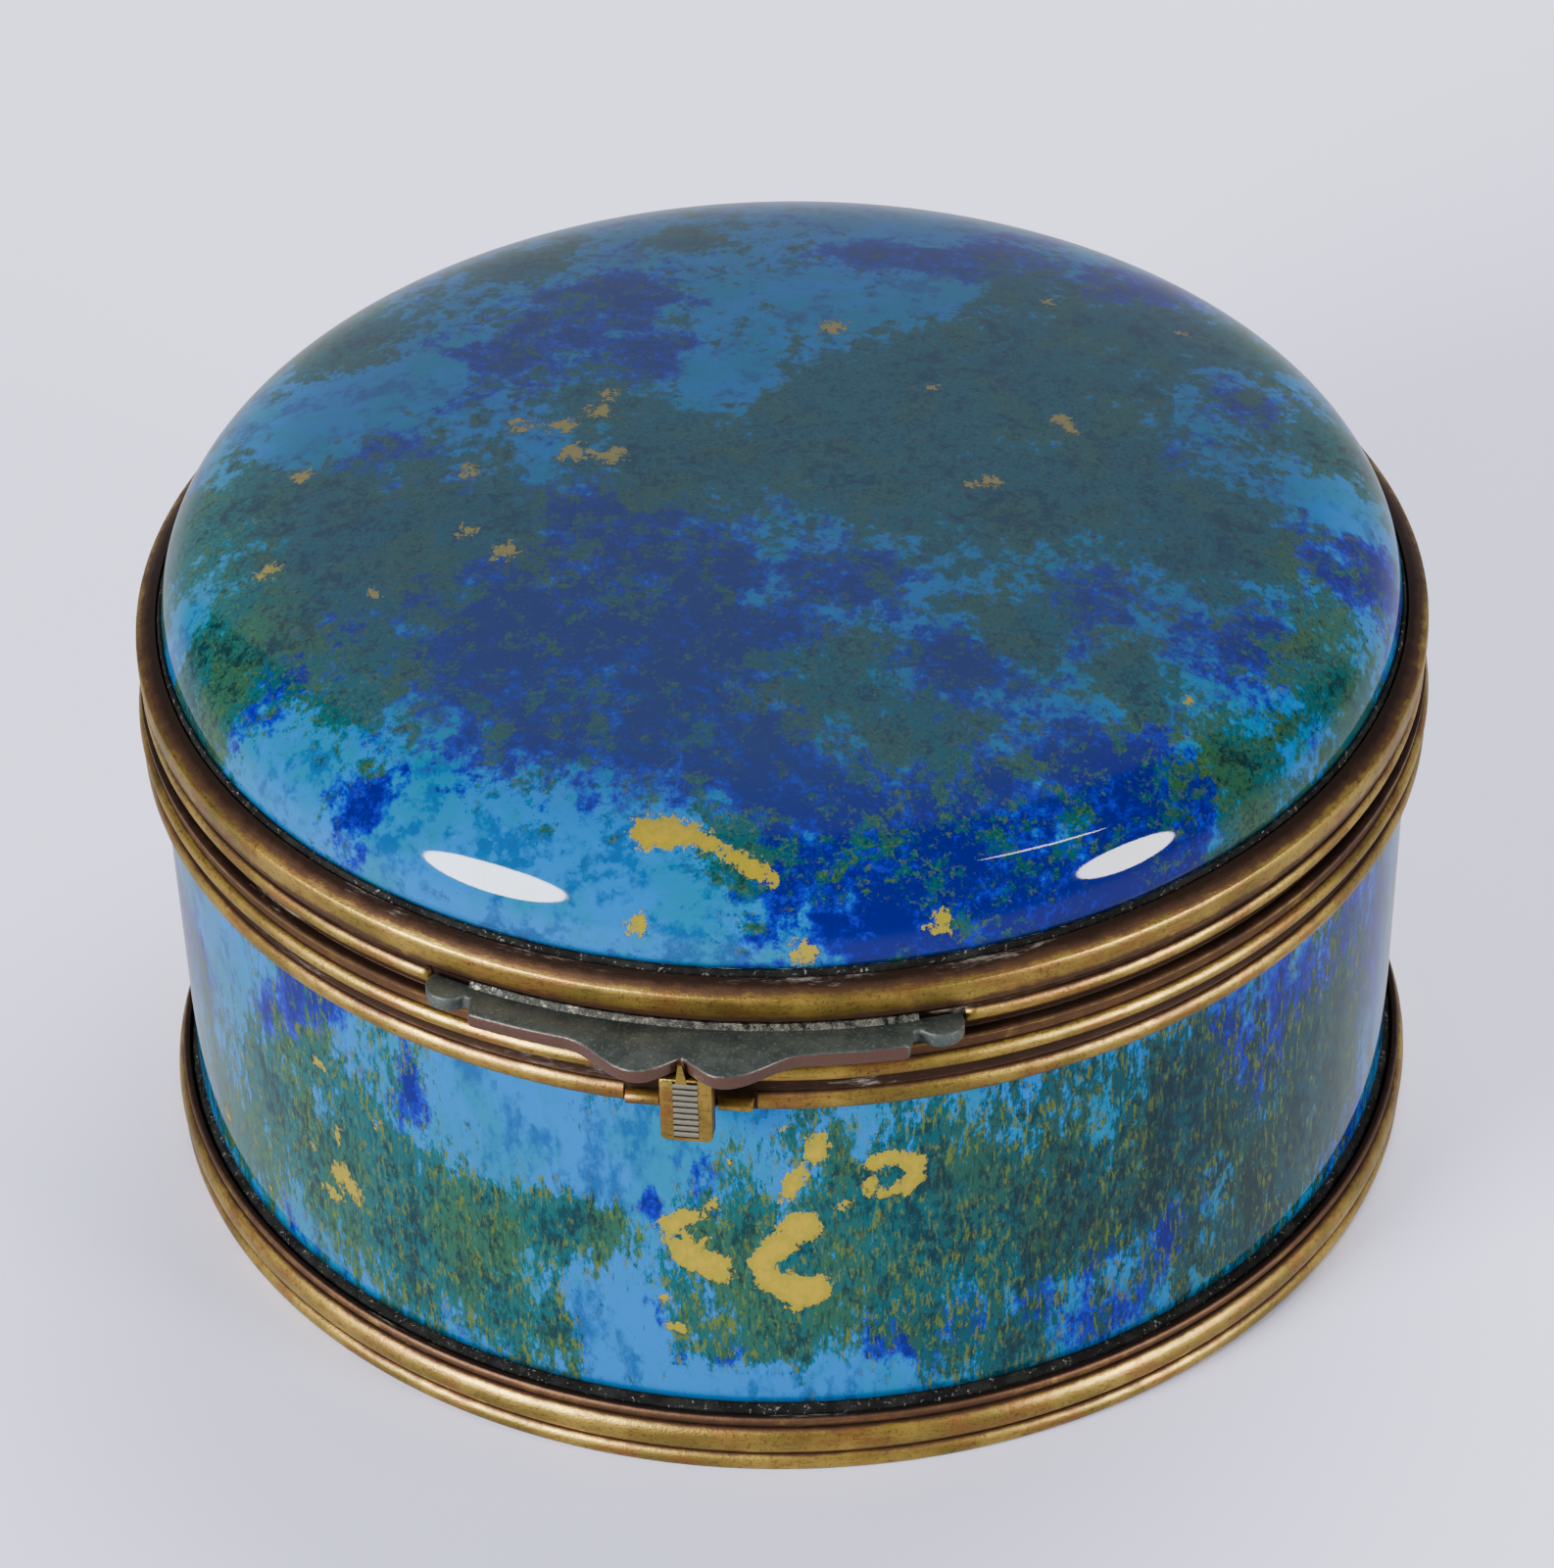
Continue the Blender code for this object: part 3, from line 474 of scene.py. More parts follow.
def turn(name, profile, steps=SPIN_STEPS, closed=True, sharp=35):
    """Spins a profile of (radius, height) pairs about the Z axis."""
    points = [(radius, 0, height) for radius, height in profile]
    if closed:
        points.append(points[0])
    piece = draw_line(name, points)
    bpy.ops.mesh.select_all(action="SELECT")
    bpy.ops.mesh.spin(steps=steps, angle=math.tau, center=(0, 0, 0), axis=(0, 0, 1))
    bpy.ops.mesh.select_all(action="SELECT")
    bpy.ops.mesh.remove_doubles(threshold=SAME_PLACE)
    bpy.ops.mesh.normals_make_consistent(inside=False)
    bpy.ops.object.mode_set(mode="OBJECT")
    bpy.ops.object.shade_smooth_by_angle(angle=math.radians(sharp))
    print(f"{name}: {len(piece.data.polygons)} faces")
    return piece


def bead(top, foot, face, stand_out, count=9):
    """Points down a half-round moulding, from one plain face to the next, with both its ends."""
    points = []
    for k in range(count + 1):
        angle = math.pi * (0.5 - k / count)
        height = (top + foot) / 2 + (top - foot) / 2 * math.sin(angle)
        points.append((face + stand_out * math.cos(angle), height))
    return points


def dress(piece, material, body, slot, *nodes):
    """Gives a finished piece its material and its body, and hides the CAD nodes that it stands for."""
    piece.data.materials.clear()
    piece.data.materials.append(material)
    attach(piece, body)
    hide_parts(*nodes)
    return piece


# %% [markdown]
# What is painted on a mesh is one number for each vertex. A dab is a soft spot, like one touch of
# a brush: full in its middle and gone at its edge. The arrays are filled in one go for speed.

# %% Painting


def corners(piece):
    """The piece's vertices in millimetres, one row each."""
    flat = np.empty(len(piece.data.vertices) * 3)
    piece.data.vertices.foreach_get("co", flat)
    return flat.reshape(-1, 3) / MM


def store(piece, name, amounts):
    layer = piece.data.attributes.new(name, "FLOAT", "POINT")
    layer.data.foreach_set("value", np.clip(amounts, -1, 1).astype(np.float32))


def dab_on(piece, name, dabs):
    """Dabs are (x, y, z, radius across, radius up, strength), in millimetres."""
    places = corners(piece)
    amounts = np.zeros(len(places))
    for x, y, z, across, up, strength in dabs:
        level = np.hypot(places[:, 0] - x, places[:, 1] - y) / across
        upright = (places[:, 2] - z) / up
        amounts += strength * np.exp(-(level ** 2 + upright ** 2))
    store(piece, name, amounts)


def grime_by_depth(piece, crest, hollow, chalk_near=(), chalk_reach=16, ledges=()):
    """Paints how deep each place lies between the crest and the hollow radius, and the chalk."""
    places = corners(piece)
    radius = np.hypot(places[:, 0], places[:, 1])
    depth = np.clip((crest - radius) / (crest - hollow), 0, 1)
    for level, reach, amount in ledges:
        depth = np.maximum(depth, amount * np.exp(-(((places[:, 2] - level) / reach) ** 2)))
    store(piece, "grime", depth)
    chalk = np.zeros(len(places))
    for azimuth in chalk_near:
        turn_by = math.radians(azimuth)
        x = crest * math.sin(turn_by)
        y = -crest * math.cos(turn_by)
        near = np.hypot(places[:, 0] - x, places[:, 1] - y) / chalk_reach
        chalk = np.maximum(chalk, np.exp(-near ** 2))
    store(piece, "chalk", 0.55 * chalk * depth)


def weathered(piece, grime):
    """Grime on a small piece, the same all over or one amount for each vertex, and no chalk."""
    count = len(piece.data.vertices)
    store(piece, "grime", np.full(count, grime))
    store(piece, "chalk", np.zeros(count))


# %% [markdown]
# The lid is a dome with a full shoulder, a squared-off ellipse in section, with a wall of true
# thickness. It steps in at its edge, where the brass holds it. The outer skin gets the mottled
# glaze and the inner skin the plain one, on the same mesh.

# %% The domed lid
SQUARENESS = 2.69
DOME_SINK = 1.3
EDGE_STEP = 0.6
PORCELAIN = 3.6
glaze_edge = lid_top + 1.1
dome_base = glaze_edge - DOME_SINK
edge_low = dome_low


def dome(radius, height, first, count):
    """Points of a squared-off quarter ellipse, from its angle first, in degrees, to the crown."""
    points = []
    for k in range(count):
        angle = math.radians(first + (90 - first) * k / count)
        across = math.cos(angle) ** (2 / SQUARENESS)
        rise = math.sin(angle) ** (2 / SQUARENESS)
        points.append((radius * across, dome_base + height * rise))
    return points + [(0, dome_base + height)]


dome_height = crown - dome_base
first_angle = math.degrees(math.asin((DOME_SINK / dome_height) ** (SQUARENESS / 2)))
outside = dome(dome_radius, dome_height, first_angle, 110)
outside.reverse()
inside = dome(dome_radius - EDGE_STEP - PORCELAIN, dome_height - PORCELAIN, 0, 40)
lid_edge = [
    (dome_radius - 0.15, glaze_edge - 0.25),
    (dome_radius - EDGE_STEP, glaze_edge - 0.3),
    (dome_radius - EDGE_STEP, edge_low),
    (dome_radius - EDGE_STEP - PORCELAIN, edge_low),
]
domed_lid = turn("domed_lid", outside + lid_edge + inside, GLAZE_SPIN_STEPS, closed=False, sharp=50)


# %% [markdown]
# The broad areas of the lid's glaze, as seen from above: the cobalt lies in the middle, along the
# back and at the front right, the green in two bands and down the left side. Their places are in
# millimetres from the axis, x to the right of the latch and y away from it, and then the dab's
# size. Clear dabs take both colours away. The gold has its own strength for each dab.

# %% Areas of colour on the lid
LID_COBALT = (
    (-12, -15, 10), (-20, -30, 10), (-5, -28, 12), (-30, -28, 7), (0, -42, 8), (20, -30, 6),
    (-30, -12, 5), (-24, 20, 6), (-28, 10, 6), (-18, 25, 5), (-13, 13, 5), (4, 35, 6), (16, 38, 8),
    (32, 35, 6), (42, 16, 5), (35, 3, 4), (50, -5, 5), (45, -20, 6), (31, -19, 5), (-39, -31, 6),
    (10, -20, 5), (20, -51, 8), (30, -45, 8), (38, -38, 6), (9, -50, 6), (-30, -47, 4), (-36, -3, 5),
    (-14, -40, 8), (-4, -3, 4), (55, -2, 4), (14, -53, 7), (25, -50, 7), (34, -44, 7), (29, -50, 6),
)
LID_GREEN = (
    (6, 5, 8), (15, 12, 9), (25, 15, 9), (30, -3, 9), (18, -8, 8), (5, -3, 8), (42, -8, 7),
    (-35, -18, 8), (-41, -10, 6), (-45, -25, 8), (-53, -8, 8), (-18, 6, 4), (-12, 0, 5), (9, -34, 5),
    (18, -39, 5), (25, -24, 5), (-24, -14, 6), (50, 14, 6), (53, -18, 5), (46, -33, 5), (-45, 20, 7),
    (-30, 32, 5), (-14, 37, 4), (20, 30, 5), (31, 26, 6), (40, 28, 5), (3, -52, 3), (22, -57, 3),
    (-8, -6, 6), (-50, -30, 5), (-32, -36, 5), (35, -28, 4),
)
LID_CLEAR = (
    (-43, 4, 6), (-35, 9, 4), (-6, 10, 4), (8, 42, 6), (10, 27, 4), (0, 27, 4), (51, 3, 3),
    (-28, -51, 5), (-18, -54, 5), (-6, -56, 6), (-41, -43, 5), (-52, -22, 3), (12, -58, 4),
)
LID_GOLD = (
    (-4.6, -51.0, 1.5, 1.0), (-2.6, -51.0, 1.5, 1.0), (-0.6, -51.1, 1.1, 0.9), (1.2, -51.7, 0.9, 0.9),
    (3.0, -52.5, 1.0, 0.9), (5.0, -53.2, 1.1, 0.9), (6.8, -53.7, 0.8, 0.8), (-4.6, -56.7, 1.2, 0.8),
    (2.6, 19.5, 1.6, 0.75), (-17, 3, 1.6, 0.7), (-20, 0.4, 1.7, 0.7), (-24, 0.3, 1.7, 0.7),
    (-18.3, -4, 1.8, 0.75), (-14.5, -4.2, 1.6, 0.75), (-16.5, 6, 1.2, 0.65), (-22, -19, 1.7, 0.7),
    (-27.5, -7, 1.4, 0.65), (-26, -16, 1.4, 0.65), (-43.3, -5.6, 1.5, 0.7), (-44, -19, 1.4, 0.65),
    (-33, -24, 1.3, 0.65), (25.2, 7, 1.5, 0.65), (26.5, 5, 1.2, 0.6), (20, -4.2, 1.4, 0.65),
    (17.8, -5.4, 1.1, 0.55), (13, 10, 1.1, 0.55), (22, 28, 1.3, 0.55), (35, 27, 1.1, 0.5),
    (9.6, -56.6, 1.3, 0.8), (40, -28.5, 0.9, 0.6), (21, -53, 1.2, 0.7), (15, -56, 1.0, 0.6),
)


def over_the_lid(spots, strength=1.0):
    """Dabs that go through the lid from above, whatever its height there."""
    return [(x, y, crown, size, 1000, strength) for x, y, size in spots]


dab_on(domed_lid, "cobalt", over_the_lid(LID_COBALT) + over_the_lid(LID_CLEAR, -0.9))
dab_on(domed_lid, "green", over_the_lid(LID_GREEN) + over_the_lid(LID_CLEAR, -0.9))
gold_dabs = []
for x, y, size, amount in LID_GOLD:
    share = min(math.hypot(x, y) / dome_radius, 1)
    height = dome_base + dome_height * (1 - share ** SQUARENESS) ** (1 / SQUARENESS)
    gold_dabs.append((x, y, height, size, 1.3 * size, amount))
dab_on(domed_lid, "gold", gold_dabs)

# %% Dress the lid


def paint_seam_shade(piece, start, reach):
    """Paints a dark line upwards from the glaze's lower edge: painted shade where it meets the bedding, and
    glaze that pooled thicker there.
    """
    height = corners(piece)[:, 2]
    store(piece, "edge", 0.85 * np.clip(1 - (height - start) / reach, 0, 1))


def line_inside(piece, is_inside):
    """Puts the plain glaze on the faces of the inner skin."""
    piece.data.materials.append(plain_glaze)
    for face in piece.data.polygons:
        centre = face.center / MM
        if is_inside(math.hypot(centre.x, centre.y), centre.z, face.normal):
            face.material_index = 1


# Painted shade and thicker glaze along the lid glaze's lower edge.
paint_seam_shade(domed_lid, glaze_edge, 0.7)
dress(domed_lid, lid_glaze, "lid", "blue glaze", "porcelain_lid")
line_inside(domed_lid, lambda radius, height, normal: height < edge_low + 0.1 or normal.z < -0.02)

# %% [markdown]
# The bowl is a nearly straight wall on a flat floor, with a shallow recess under it. Its glazed
# face starts just above the foot mount and goes on up inside the rim.

# %% The bowl
WALL = 4.2
WALL_FLARE = 0.85
FOOT_STEP = 0.9
FOOT_RING = 6.6
FOOT_RECESS = 1.1
FLOOR = 4.0
CORNER = 6.0
wall_foot = base_top + 0.7
wall_foot_radius = wall_radius - WALL_FLARE
foot_radius = wall_foot_radius - FOOT_STEP
floor_top = bowl_low + FOOT_RECESS + FLOOR
inner_radius = wall_radius - WALL
WALL_ROWS = 90

bowl_profile = [(0, floor_top)]
bowl_profile += [((inner_radius - CORNER) * k / 12, floor_top) for k in range(1, 12)]
for k in range(13):
    angle = math.radians(-90 + 90 * k / 12)
    across = inner_radius - CORNER + CORNER * math.cos(angle)
    bowl_profile.append((across, floor_top + CORNER + CORNER * math.sin(angle)))
bowl_profile += [(inner_radius, bowl_top - 0.8), (inner_radius + 0.8, bowl_top)]
bowl_profile.append((wall_radius - 0.6, bowl_top))
for k in range(WALL_ROWS + 1):
    height = bowl_top - 0.6 - (bowl_top - 0.6 - wall_foot) * k / WALL_ROWS
    share = (height - wall_foot) / (bowl_top - wall_foot)
    bowl_profile.append((wall_foot_radius + WALL_FLARE * share, height))
bowl_profile += [
    (foot_radius, wall_foot), (foot_radius, bowl_low + 0.4), (foot_radius - 0.4, bowl_low),
    (foot_radius - FOOT_RING, bowl_low),
    (foot_radius - FOOT_RING - FOOT_RECESS, bowl_low + FOOT_RECESS), (0, bowl_low + FOOT_RECESS),
]
bowl = turn("bowl", bowl_profile, GLAZE_SPIN_STEPS, closed=False, sharp=50)

# %% [markdown]
# The wall's areas are given by azimuth from the latch in degrees, height, and the dab's size round
# and up. The cobalt hangs from the rim and shows again at the foot, the green makes a broad belt
# between, and the gold lies in blobs beside the latch. The photograph doesn't show the back, so
# its dabs only carry the belt on round the box.

# %% Areas of colour on the wall
WALL_COBALT = (
    (-41, 38, 4, 5), (-37, 42, 3, 3), (-46, 34, 3, 4), (-27, 36, 2.5, 5), (-28, 27, 2, 3),
    (-2, 12, 3, 3.5), (3, 13, 3, 3), (-5, 18, 2, 3), (16, 15, 4, 4), (22, 14, 3, 4), (30, 14, 3, 5),
    (37, 20, 3, 4), (38, 10, 4, 3), (45, 17, 4, 5), (49, 38, 4, 6), (53, 31, 4, 7), (60, 33, 4, 7),
    (68, 38, 7, 6), (75, 31, 7, 10), (-64, 30, 7, 9), (-4, 31, 2, 3), (30, 21, 2, 3), (72, 10, 6, 5),
)
WALL_GREEN = (
    (-37, 18, 8, 6), (-33, 26, 6, 6), (-47, 25, 6, 6), (-24, 24, 6, 5), (-16, 25, 6, 4), (-55, 14, 8, 6),
    (-40, 33, 4, 3), (-25, 16, 7, 4), (-17, 13, 5, 5), (2, 27, 4, 6), (7, 16, 6, 4), (14, 24, 6, 6),
    (16, 31, 6, 5), (22, 26, 7, 8), (30, 26, 7, 8), (38, 25, 7, 6), (45, 27, 6, 7), (57, 22, 8, 8),
    (68, 20, 7, 8), (66, 27, 7, 7), (27, 10, 5, 4), (50, 12, 6, 5), (60, 12, 6, 5), (-9, 27, 4, 3),
    (8, 24, 4, 6), (44, 36, 5, 4),
)
BACK_COBALT = (
    (95, 34, 6, 7), (110, 12, 5, 5), (127, 34, 5, 6), (146, 14, 5, 5), (163, 36, 5, 6),
    (190, 14, 5, 5), (215, 37, 5, 6), (235, 12, 5, 5), (262, 36, 6, 7), (278, 16, 5, 5),
)
BACK_GREEN = (
    (100, 26, 9, 8), (118, 20, 9, 7), (135, 27, 8, 7), (152, 22, 9, 7), (170, 26, 9, 8), (188, 21, 8, 7),
    (205, 26, 9, 7), (222, 21, 8, 7), (240, 27, 9, 8), (258, 22, 9, 7), (275, 25, 8, 7),
)
WALL_STIPPLED = (
    (11, 39, 7, 4), (22, 40, 7, 4), (32, 38, 8, 5), (41, 40, 7, 4), (-30, 41, 7, 4), (-30, 10, 9, 4),
)
WALL_CLEAR = (
    (-14, 37, 6, 5.5), (-6, 35, 4, 5), (-8, 14, 3.5, 8), (2, 9, 5, 3), (12, 9, 5, 3), (-20, 41, 4, 3),
    (-52, 38, 5, 5), (5, 43, 3, 3), (-62, 40, 6, 5),
)
WALL_GOLD = (
    (10.6, 38.6, 1.2, 1.5, 0.9), (10.2, 36.8, 1.1, 1.0, 0.9), (8.9, 35.0, 1.0, 0.9, 0.8),
    (8.2, 33.3, 1.2, 1.3, 0.9), (7.2, 31.9, 1.0, 0.8, 0.7), (15.4, 35.6, 1.2, 1.0, 0.9),
    (17.0, 36.3, 1.3, 0.9, 0.9), (18.6, 35.4, 1.2, 1.1, 0.9), (19.0, 33.7, 1.1, 1.2, 0.9),
    (17.8, 32.3, 1.1, 0.9, 0.9), (15.8, 31.9, 1.2, 0.8, 0.8), (14.9, 33.2, 1.0, 1.0, 0.8),
    (12.9, 31.0, 0.9, 0.8, 0.8), (9.2, 29.5, 1.7, 1.1, 1.0), (8.5, 27.9, 2.2, 1.2, 1.0),
    (7.0, 26.4, 1.5, 1.0, 1.0), (5.9, 25.2, 1.4, 1.1, 1.0), (5.5, 23.7, 1.2, 1.5, 1.0),
    (6.6, 22.2, 1.6, 1.2, 1.0), (8.3, 21.3, 2.2, 1.3, 1.0), (10.2, 21.3, 1.3, 1.5, 1.0),
    (9.0, 19.8, 1.8, 0.8, 0.9), (8.2, 18.6, 1.0, 0.6, 0.8), (-2.3, 28.2, 1.4, 1.3, 0.9),
    (-0.7, 29.6, 1.5, 1.0, 0.9), (1.4, 31.2, 0.9, 1.1, 0.85), (-1.2, 25.6, 1.7, 1.6, 0.95),
    (-0.3, 23.9, 1.5, 1.4, 0.95), (1.8, 22.9, 1.3, 1.4, 0.95), (1.9, 24.6, 1.1, 1.0, 0.85),
    (0.8, 27.4, 0.7, 1.0, 0.6), (-3.0, 19.0, 1.2, 0.8, 0.8), (-2.3, 15.9, 1.7, 0.8, 0.9),
    (-36.8, 21.0, 1.6, 1.9, 0.72), (-34.6, 19.2, 1.5, 2.0, 0.72), (-36.6, 25.2, 1.0, 1.8, 0.65),
    (-38.2, 17.6, 1.9, 1.2, 0.68), (-38, 33.2, 1.5, 0.8, 0.65), (-31, 30.2, 1.1, 0.9, 0.65),
    (-35.4, 28.4, 0.8, 0.7, 0.6), (-40.4, 21.8, 1.0, 0.8, 0.6), (-58, 13.0, 1.3, 1.8, 0.7),
    (-49.2, 10.4, 1.4, 0.9, 0.6), (7.6, 40.4, 1.2, 0.5, 0.7), (3.0, 36.4, 0.9, 0.5, 0.5),
)


def round_the_wall(spots, strength=1.0):
    """Dabs by azimuth from the latch, in degrees, and height."""
    dabs = []
    for azimuth, height, across, up in spots:
        way = math.radians(azimuth)
        place = (wall_radius * math.sin(way), -wall_radius * math.cos(way), height)
        dabs.append((*place, across, up, strength))
    return dabs


clear = round_the_wall(WALL_CLEAR, -0.9)
dab_on(bowl, "cobalt", round_the_wall(WALL_COBALT + BACK_COBALT) + clear)
greens = round_the_wall(WALL_GREEN + BACK_GREEN) + round_the_wall(WALL_STIPPLED, 0.25) + clear
dab_on(bowl, "green", greens)
gold_dabs = [dab for *spot, amount in WALL_GOLD for dab in round_the_wall([spot], amount)]
dab_on(bowl, "gold", gold_dabs)

# %% Dress the bowl
# Painted shade and thicker glaze along the wall's foot, above the bedding.
paint_seam_shade(bowl, wall_foot, 1.0)
dress(bowl, wall_glaze, "box", "blue glaze", "porcelain_bowl")
line_inside(bowl, lambda radius, height, normal: radius < wall_foot_radius - FOOT_STEP - 0.2)

# %% [markdown]
# The base mount is one strip of brass with three mouldings: a thin bead on top, a broad torus and
# a second bead that stands on the table. A channel behind them takes the bowl's foot.

# %% Base ring
BASE_FACE = 59.2
BASE_CHANNEL = 58.7
BASE_SHELF = 1.0
FOOT_BEAD_TOP = 2.1
TORUS_TOP = 5.3
base_profile = [(BASE_CHANNEL, base_top - 0.15), (BASE_CHANNEL + 0.2, base_top)]
base_profile += bead(base_top, TORUS_TOP + 0.1, BASE_FACE, 0.32)
base_profile += bead(TORUS_TOP - 0.1, FOOT_BEAD_TOP + 0.15, BASE_FACE, 0.9, 16)
base_profile += bead(FOOT_BEAD_TOP - 0.05, base_low + 0.1, BASE_FACE, 0.7, 12)
base_inside = BASE_CHANNEL - 6.7
base_profile += [(BASE_FACE - 0.1, base_low), (base_inside, base_low)]
base_profile += [(base_inside, BASE_SHELF), (BASE_CHANNEL, BASE_SHELF)]
base_mount = turn("base_mount", base_profile)
grime_by_depth(base_mount, 60.0, 59.1, chalk_near=(-30, 8))
dress(base_mount, brass, "box", "aged brass", "base_ring")

# %% [markdown]
# The rim of the box has an edge bead, a reed, a wide hollow and a lower reed on a thin skirt, and
# inside it a low upstand that keeps the lid in place. It is turned whole and the latch's recess
# is then cut out of it, as the maker must have sawn it.

# %% Body rim
RIM_FACE = 59.6
RIM_SKIRT = 59.15
SHOULDER = 59.0
UPSTAND = 57.3
UPSTAND_WALL = 0.8
ledge = rim_low + 6.6
shoulder_top = lid_low - 0.3
plate_low = bowl_top + 0.3
upstand_inside = UPSTAND - UPSTAND_WALL
rim_profile = [
    (upstand_inside, rim_top - 0.15), (upstand_inside + 0.15, rim_top), (UPSTAND - 0.15, rim_top),
    (UPSTAND, rim_top - 0.15), (UPSTAND, shoulder_top), (SHOULDER - 0.1, shoulder_top),
    (SHOULDER, shoulder_top - 0.1), (SHOULDER, ledge + 0.05), (SHOULDER + 0.05, ledge),
    (RIM_FACE + 0.3, ledge), (RIM_FACE + 0.42, ledge - 0.08), (RIM_FACE + 0.42, ledge - 0.45),
    (RIM_FACE + 0.2, ledge - 0.7), (RIM_FACE + 0.2, ledge - 1.5),
]
rim_profile += bead(ledge - 1.6, ledge - 3.3, RIM_FACE, rim_radius - RIM_FACE, 12)
rim_profile += [(RIM_FACE - 0.05, ledge - 3.45), (RIM_FACE - 0.05, ledge - 4.45)]
rim_profile += bead(ledge - 4.6, rim_low, RIM_FACE, 0.6, 12)
rim_profile += [(RIM_SKIRT, rim_low), (RIM_SKIRT, plate_low), (inner_radius, plate_low)]
rim_profile += [(inner_radius, plate_low + 1.6), (upstand_inside, plate_low + 1.6)]
box_rim = turn("box_rim", rim_profile)

# %% Cut the recess for the latch
knuckle_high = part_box("latch_knuckle_right")[1]
RECESS_BACK = 59.45
RECESS_TOP = ledge - 3.8
recess_half = knuckle_high.x / MM + 0.3


def block(name, low, high):
    """A box between two corners, in millimetres, with its place in its mesh."""
    bpy.ops.object.select_all(action="DESELECT")
    middle = (Vector(low) + Vector(high)) / 2 * MM
    bpy.ops.mesh.primitive_cube_add(size=1, location=middle)
    piece = new_piece(name)
    piece.scale = (Vector(high) - Vector(low)) * MM
    bpy.ops.object.transform_apply(location=True, rotation=True, scale=True)
    return piece


def pick(piece, *others):
    """Selects pieces and makes the first of them active."""
    bpy.ops.object.select_all(action="DESELECT")
    for each in (piece, *others):
        each.select_set(True)
    bpy.context.view_layer.objects.active = piece


def apply_modifiers(piece):
    pick(piece)
    for modifier in list(piece.modifiers):
        bpy.ops.object.modifier_apply(modifier=modifier.name)


def cut_away(piece, tool):
    """Takes the tool's shape out of the piece and removes the tool."""
    cut = piece.modifiers.new("Cut", "BOOLEAN")
    cut.operation = "DIFFERENCE"
    cut.solver = "EXACT"
    cut.object = tool
    apply_modifiers(piece)
    bpy.data.objects.remove(tool)


def round_edges(piece, width, segments, angle):
    """Bevels the edges that turn by more than the angle, in degrees."""
    edge = piece.modifiers.new("Edge", "BEVEL")
    edge.width = width * MM
    edge.segments = segments
    edge.limit_method = "ANGLE"
    edge.angle_limit = math.radians(angle)
    apply_modifiers(piece)


recess = block("recess", (-recess_half, -65, rim_low - 1), (recess_half, -RECESS_BACK, RECESS_TOP))
cut_away(box_rim, recess)
grime_by_depth(box_rim, 60.3, 59.5, chalk_near=(-40, -12, 14), ledges=((ledge, 0.3, 0.8),))
dress(box_rim, brass, "box", "aged brass", "body_rim")
print(f"recess {2 * recess_half:.1f} mm wide")

# %% [markdown]
# The lid's mount has a sloping ledge on top, a tall plain band, a groove and a lower bead. At the
# front the bead gives way to the thumb piece, so it is cut back there over the same width.

# %% Lid rim
LID_FACE = 59.4
LID_CHANNEL = 58.05
LIP_RISE = 0.62
BEAD_TOP = lid_low + 1.5
BAND_FOOT = BEAD_TOP + 0.75
lid_shelf = dome_low - 0.3
upstand_gap = UPSTAND + 0.4
LID_INSIDE = dome_radius - EDGE_STEP - PORCELAIN
lip_top = lid_top + LIP_RISE
lid_profile = [
    (LID_CHANNEL, lip_top - 0.1), (LID_CHANNEL + 0.1, lip_top), (LID_CHANNEL + 0.5, lip_top - 0.15),
    (lid_radius - 0.14, lid_top - 0.26), (lid_radius - 0.03, lid_top - 0.42),
    (lid_radius, lid_top - 0.9), (lid_radius, (lid_top + BAND_FOOT) / 2),
    (lid_radius - 0.04, BAND_FOOT + 0.4), (lid_radius - 0.15, BAND_FOOT + 0.12),
    (LID_FACE + 0.1, BAND_FOOT), (LID_FACE, BAND_FOOT - 0.15), (LID_FACE, BEAD_TOP + 0.1),
]
lid_profile += bead(BEAD_TOP, lid_low, LID_FACE, 0.5, 12)
lid_profile += [(upstand_gap, lid_low), (upstand_gap, lid_shelf - 0.9), (LID_INSIDE, lid_shelf - 0.9)]
lid_profile += [(LID_INSIDE, lid_shelf), (LID_CHANNEL, lid_shelf)]
lid_mount = turn("lid_mount", lid_profile)

# %% [markdown]
# The thumb piece is a flat plate, drawn in plan as half an outline and its mirror image. Two lobes
# stand on either side of a cusp, the plate runs out on both sides to a small step, and a round
# tab ends it. The outline is filled, given its thickness and rounded at its edges.

# %% Thumb piece outline
plate_low_corner, plate_high_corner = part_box("thumb_piece")
plate_bottom = plate_low_corner.z / MM
plate_top = plate_high_corner.z / MM
PLATE_RADIUS = 63.3
PLATE_REACH = 66.2
LOBE_ANGLE = 3.3
LOBE_INNER = 4.8
LOBE_OUTER = 6.2
PLATE_ANGLE = 17.7
TAB_ANGLE = 20.7
TAB_RADIUS = 2.1
TAB_DISTANCE = PLATE_RADIUS - 1.4 * TAB_RADIUS
PLATE_INNER = LID_FACE + 0.3
LOBE_RISE = PLATE_REACH / math.cos(math.radians(LOBE_ANGLE)) - PLATE_RADIUS


def ahead(azimuth, radius):
    """A point in plan, by azimuth from the latch and distance from the axis."""
    way = math.radians(azimuth)
    return (radius * math.sin(way), -radius * math.cos(way))


def arc(half, radius, steps, middle=0):
    """Points in plan along an arc, from half degrees after its middle to half degrees before it."""
    return [ahead(middle + half - 2 * half * k / steps, radius) for k in range(steps + 1)]


def plate_edge(azimuth):
    """How far from the axis the plate's front edge lies."""
    away = abs(azimuth) - LOBE_ANGLE
    spread = LOBE_INNER if away < 0 else LOBE_OUTER
    share = min(abs(away) / spread, 1)
    return PLATE_RADIUS + LOBE_RISE * math.cos(share * math.pi / 2) ** 2


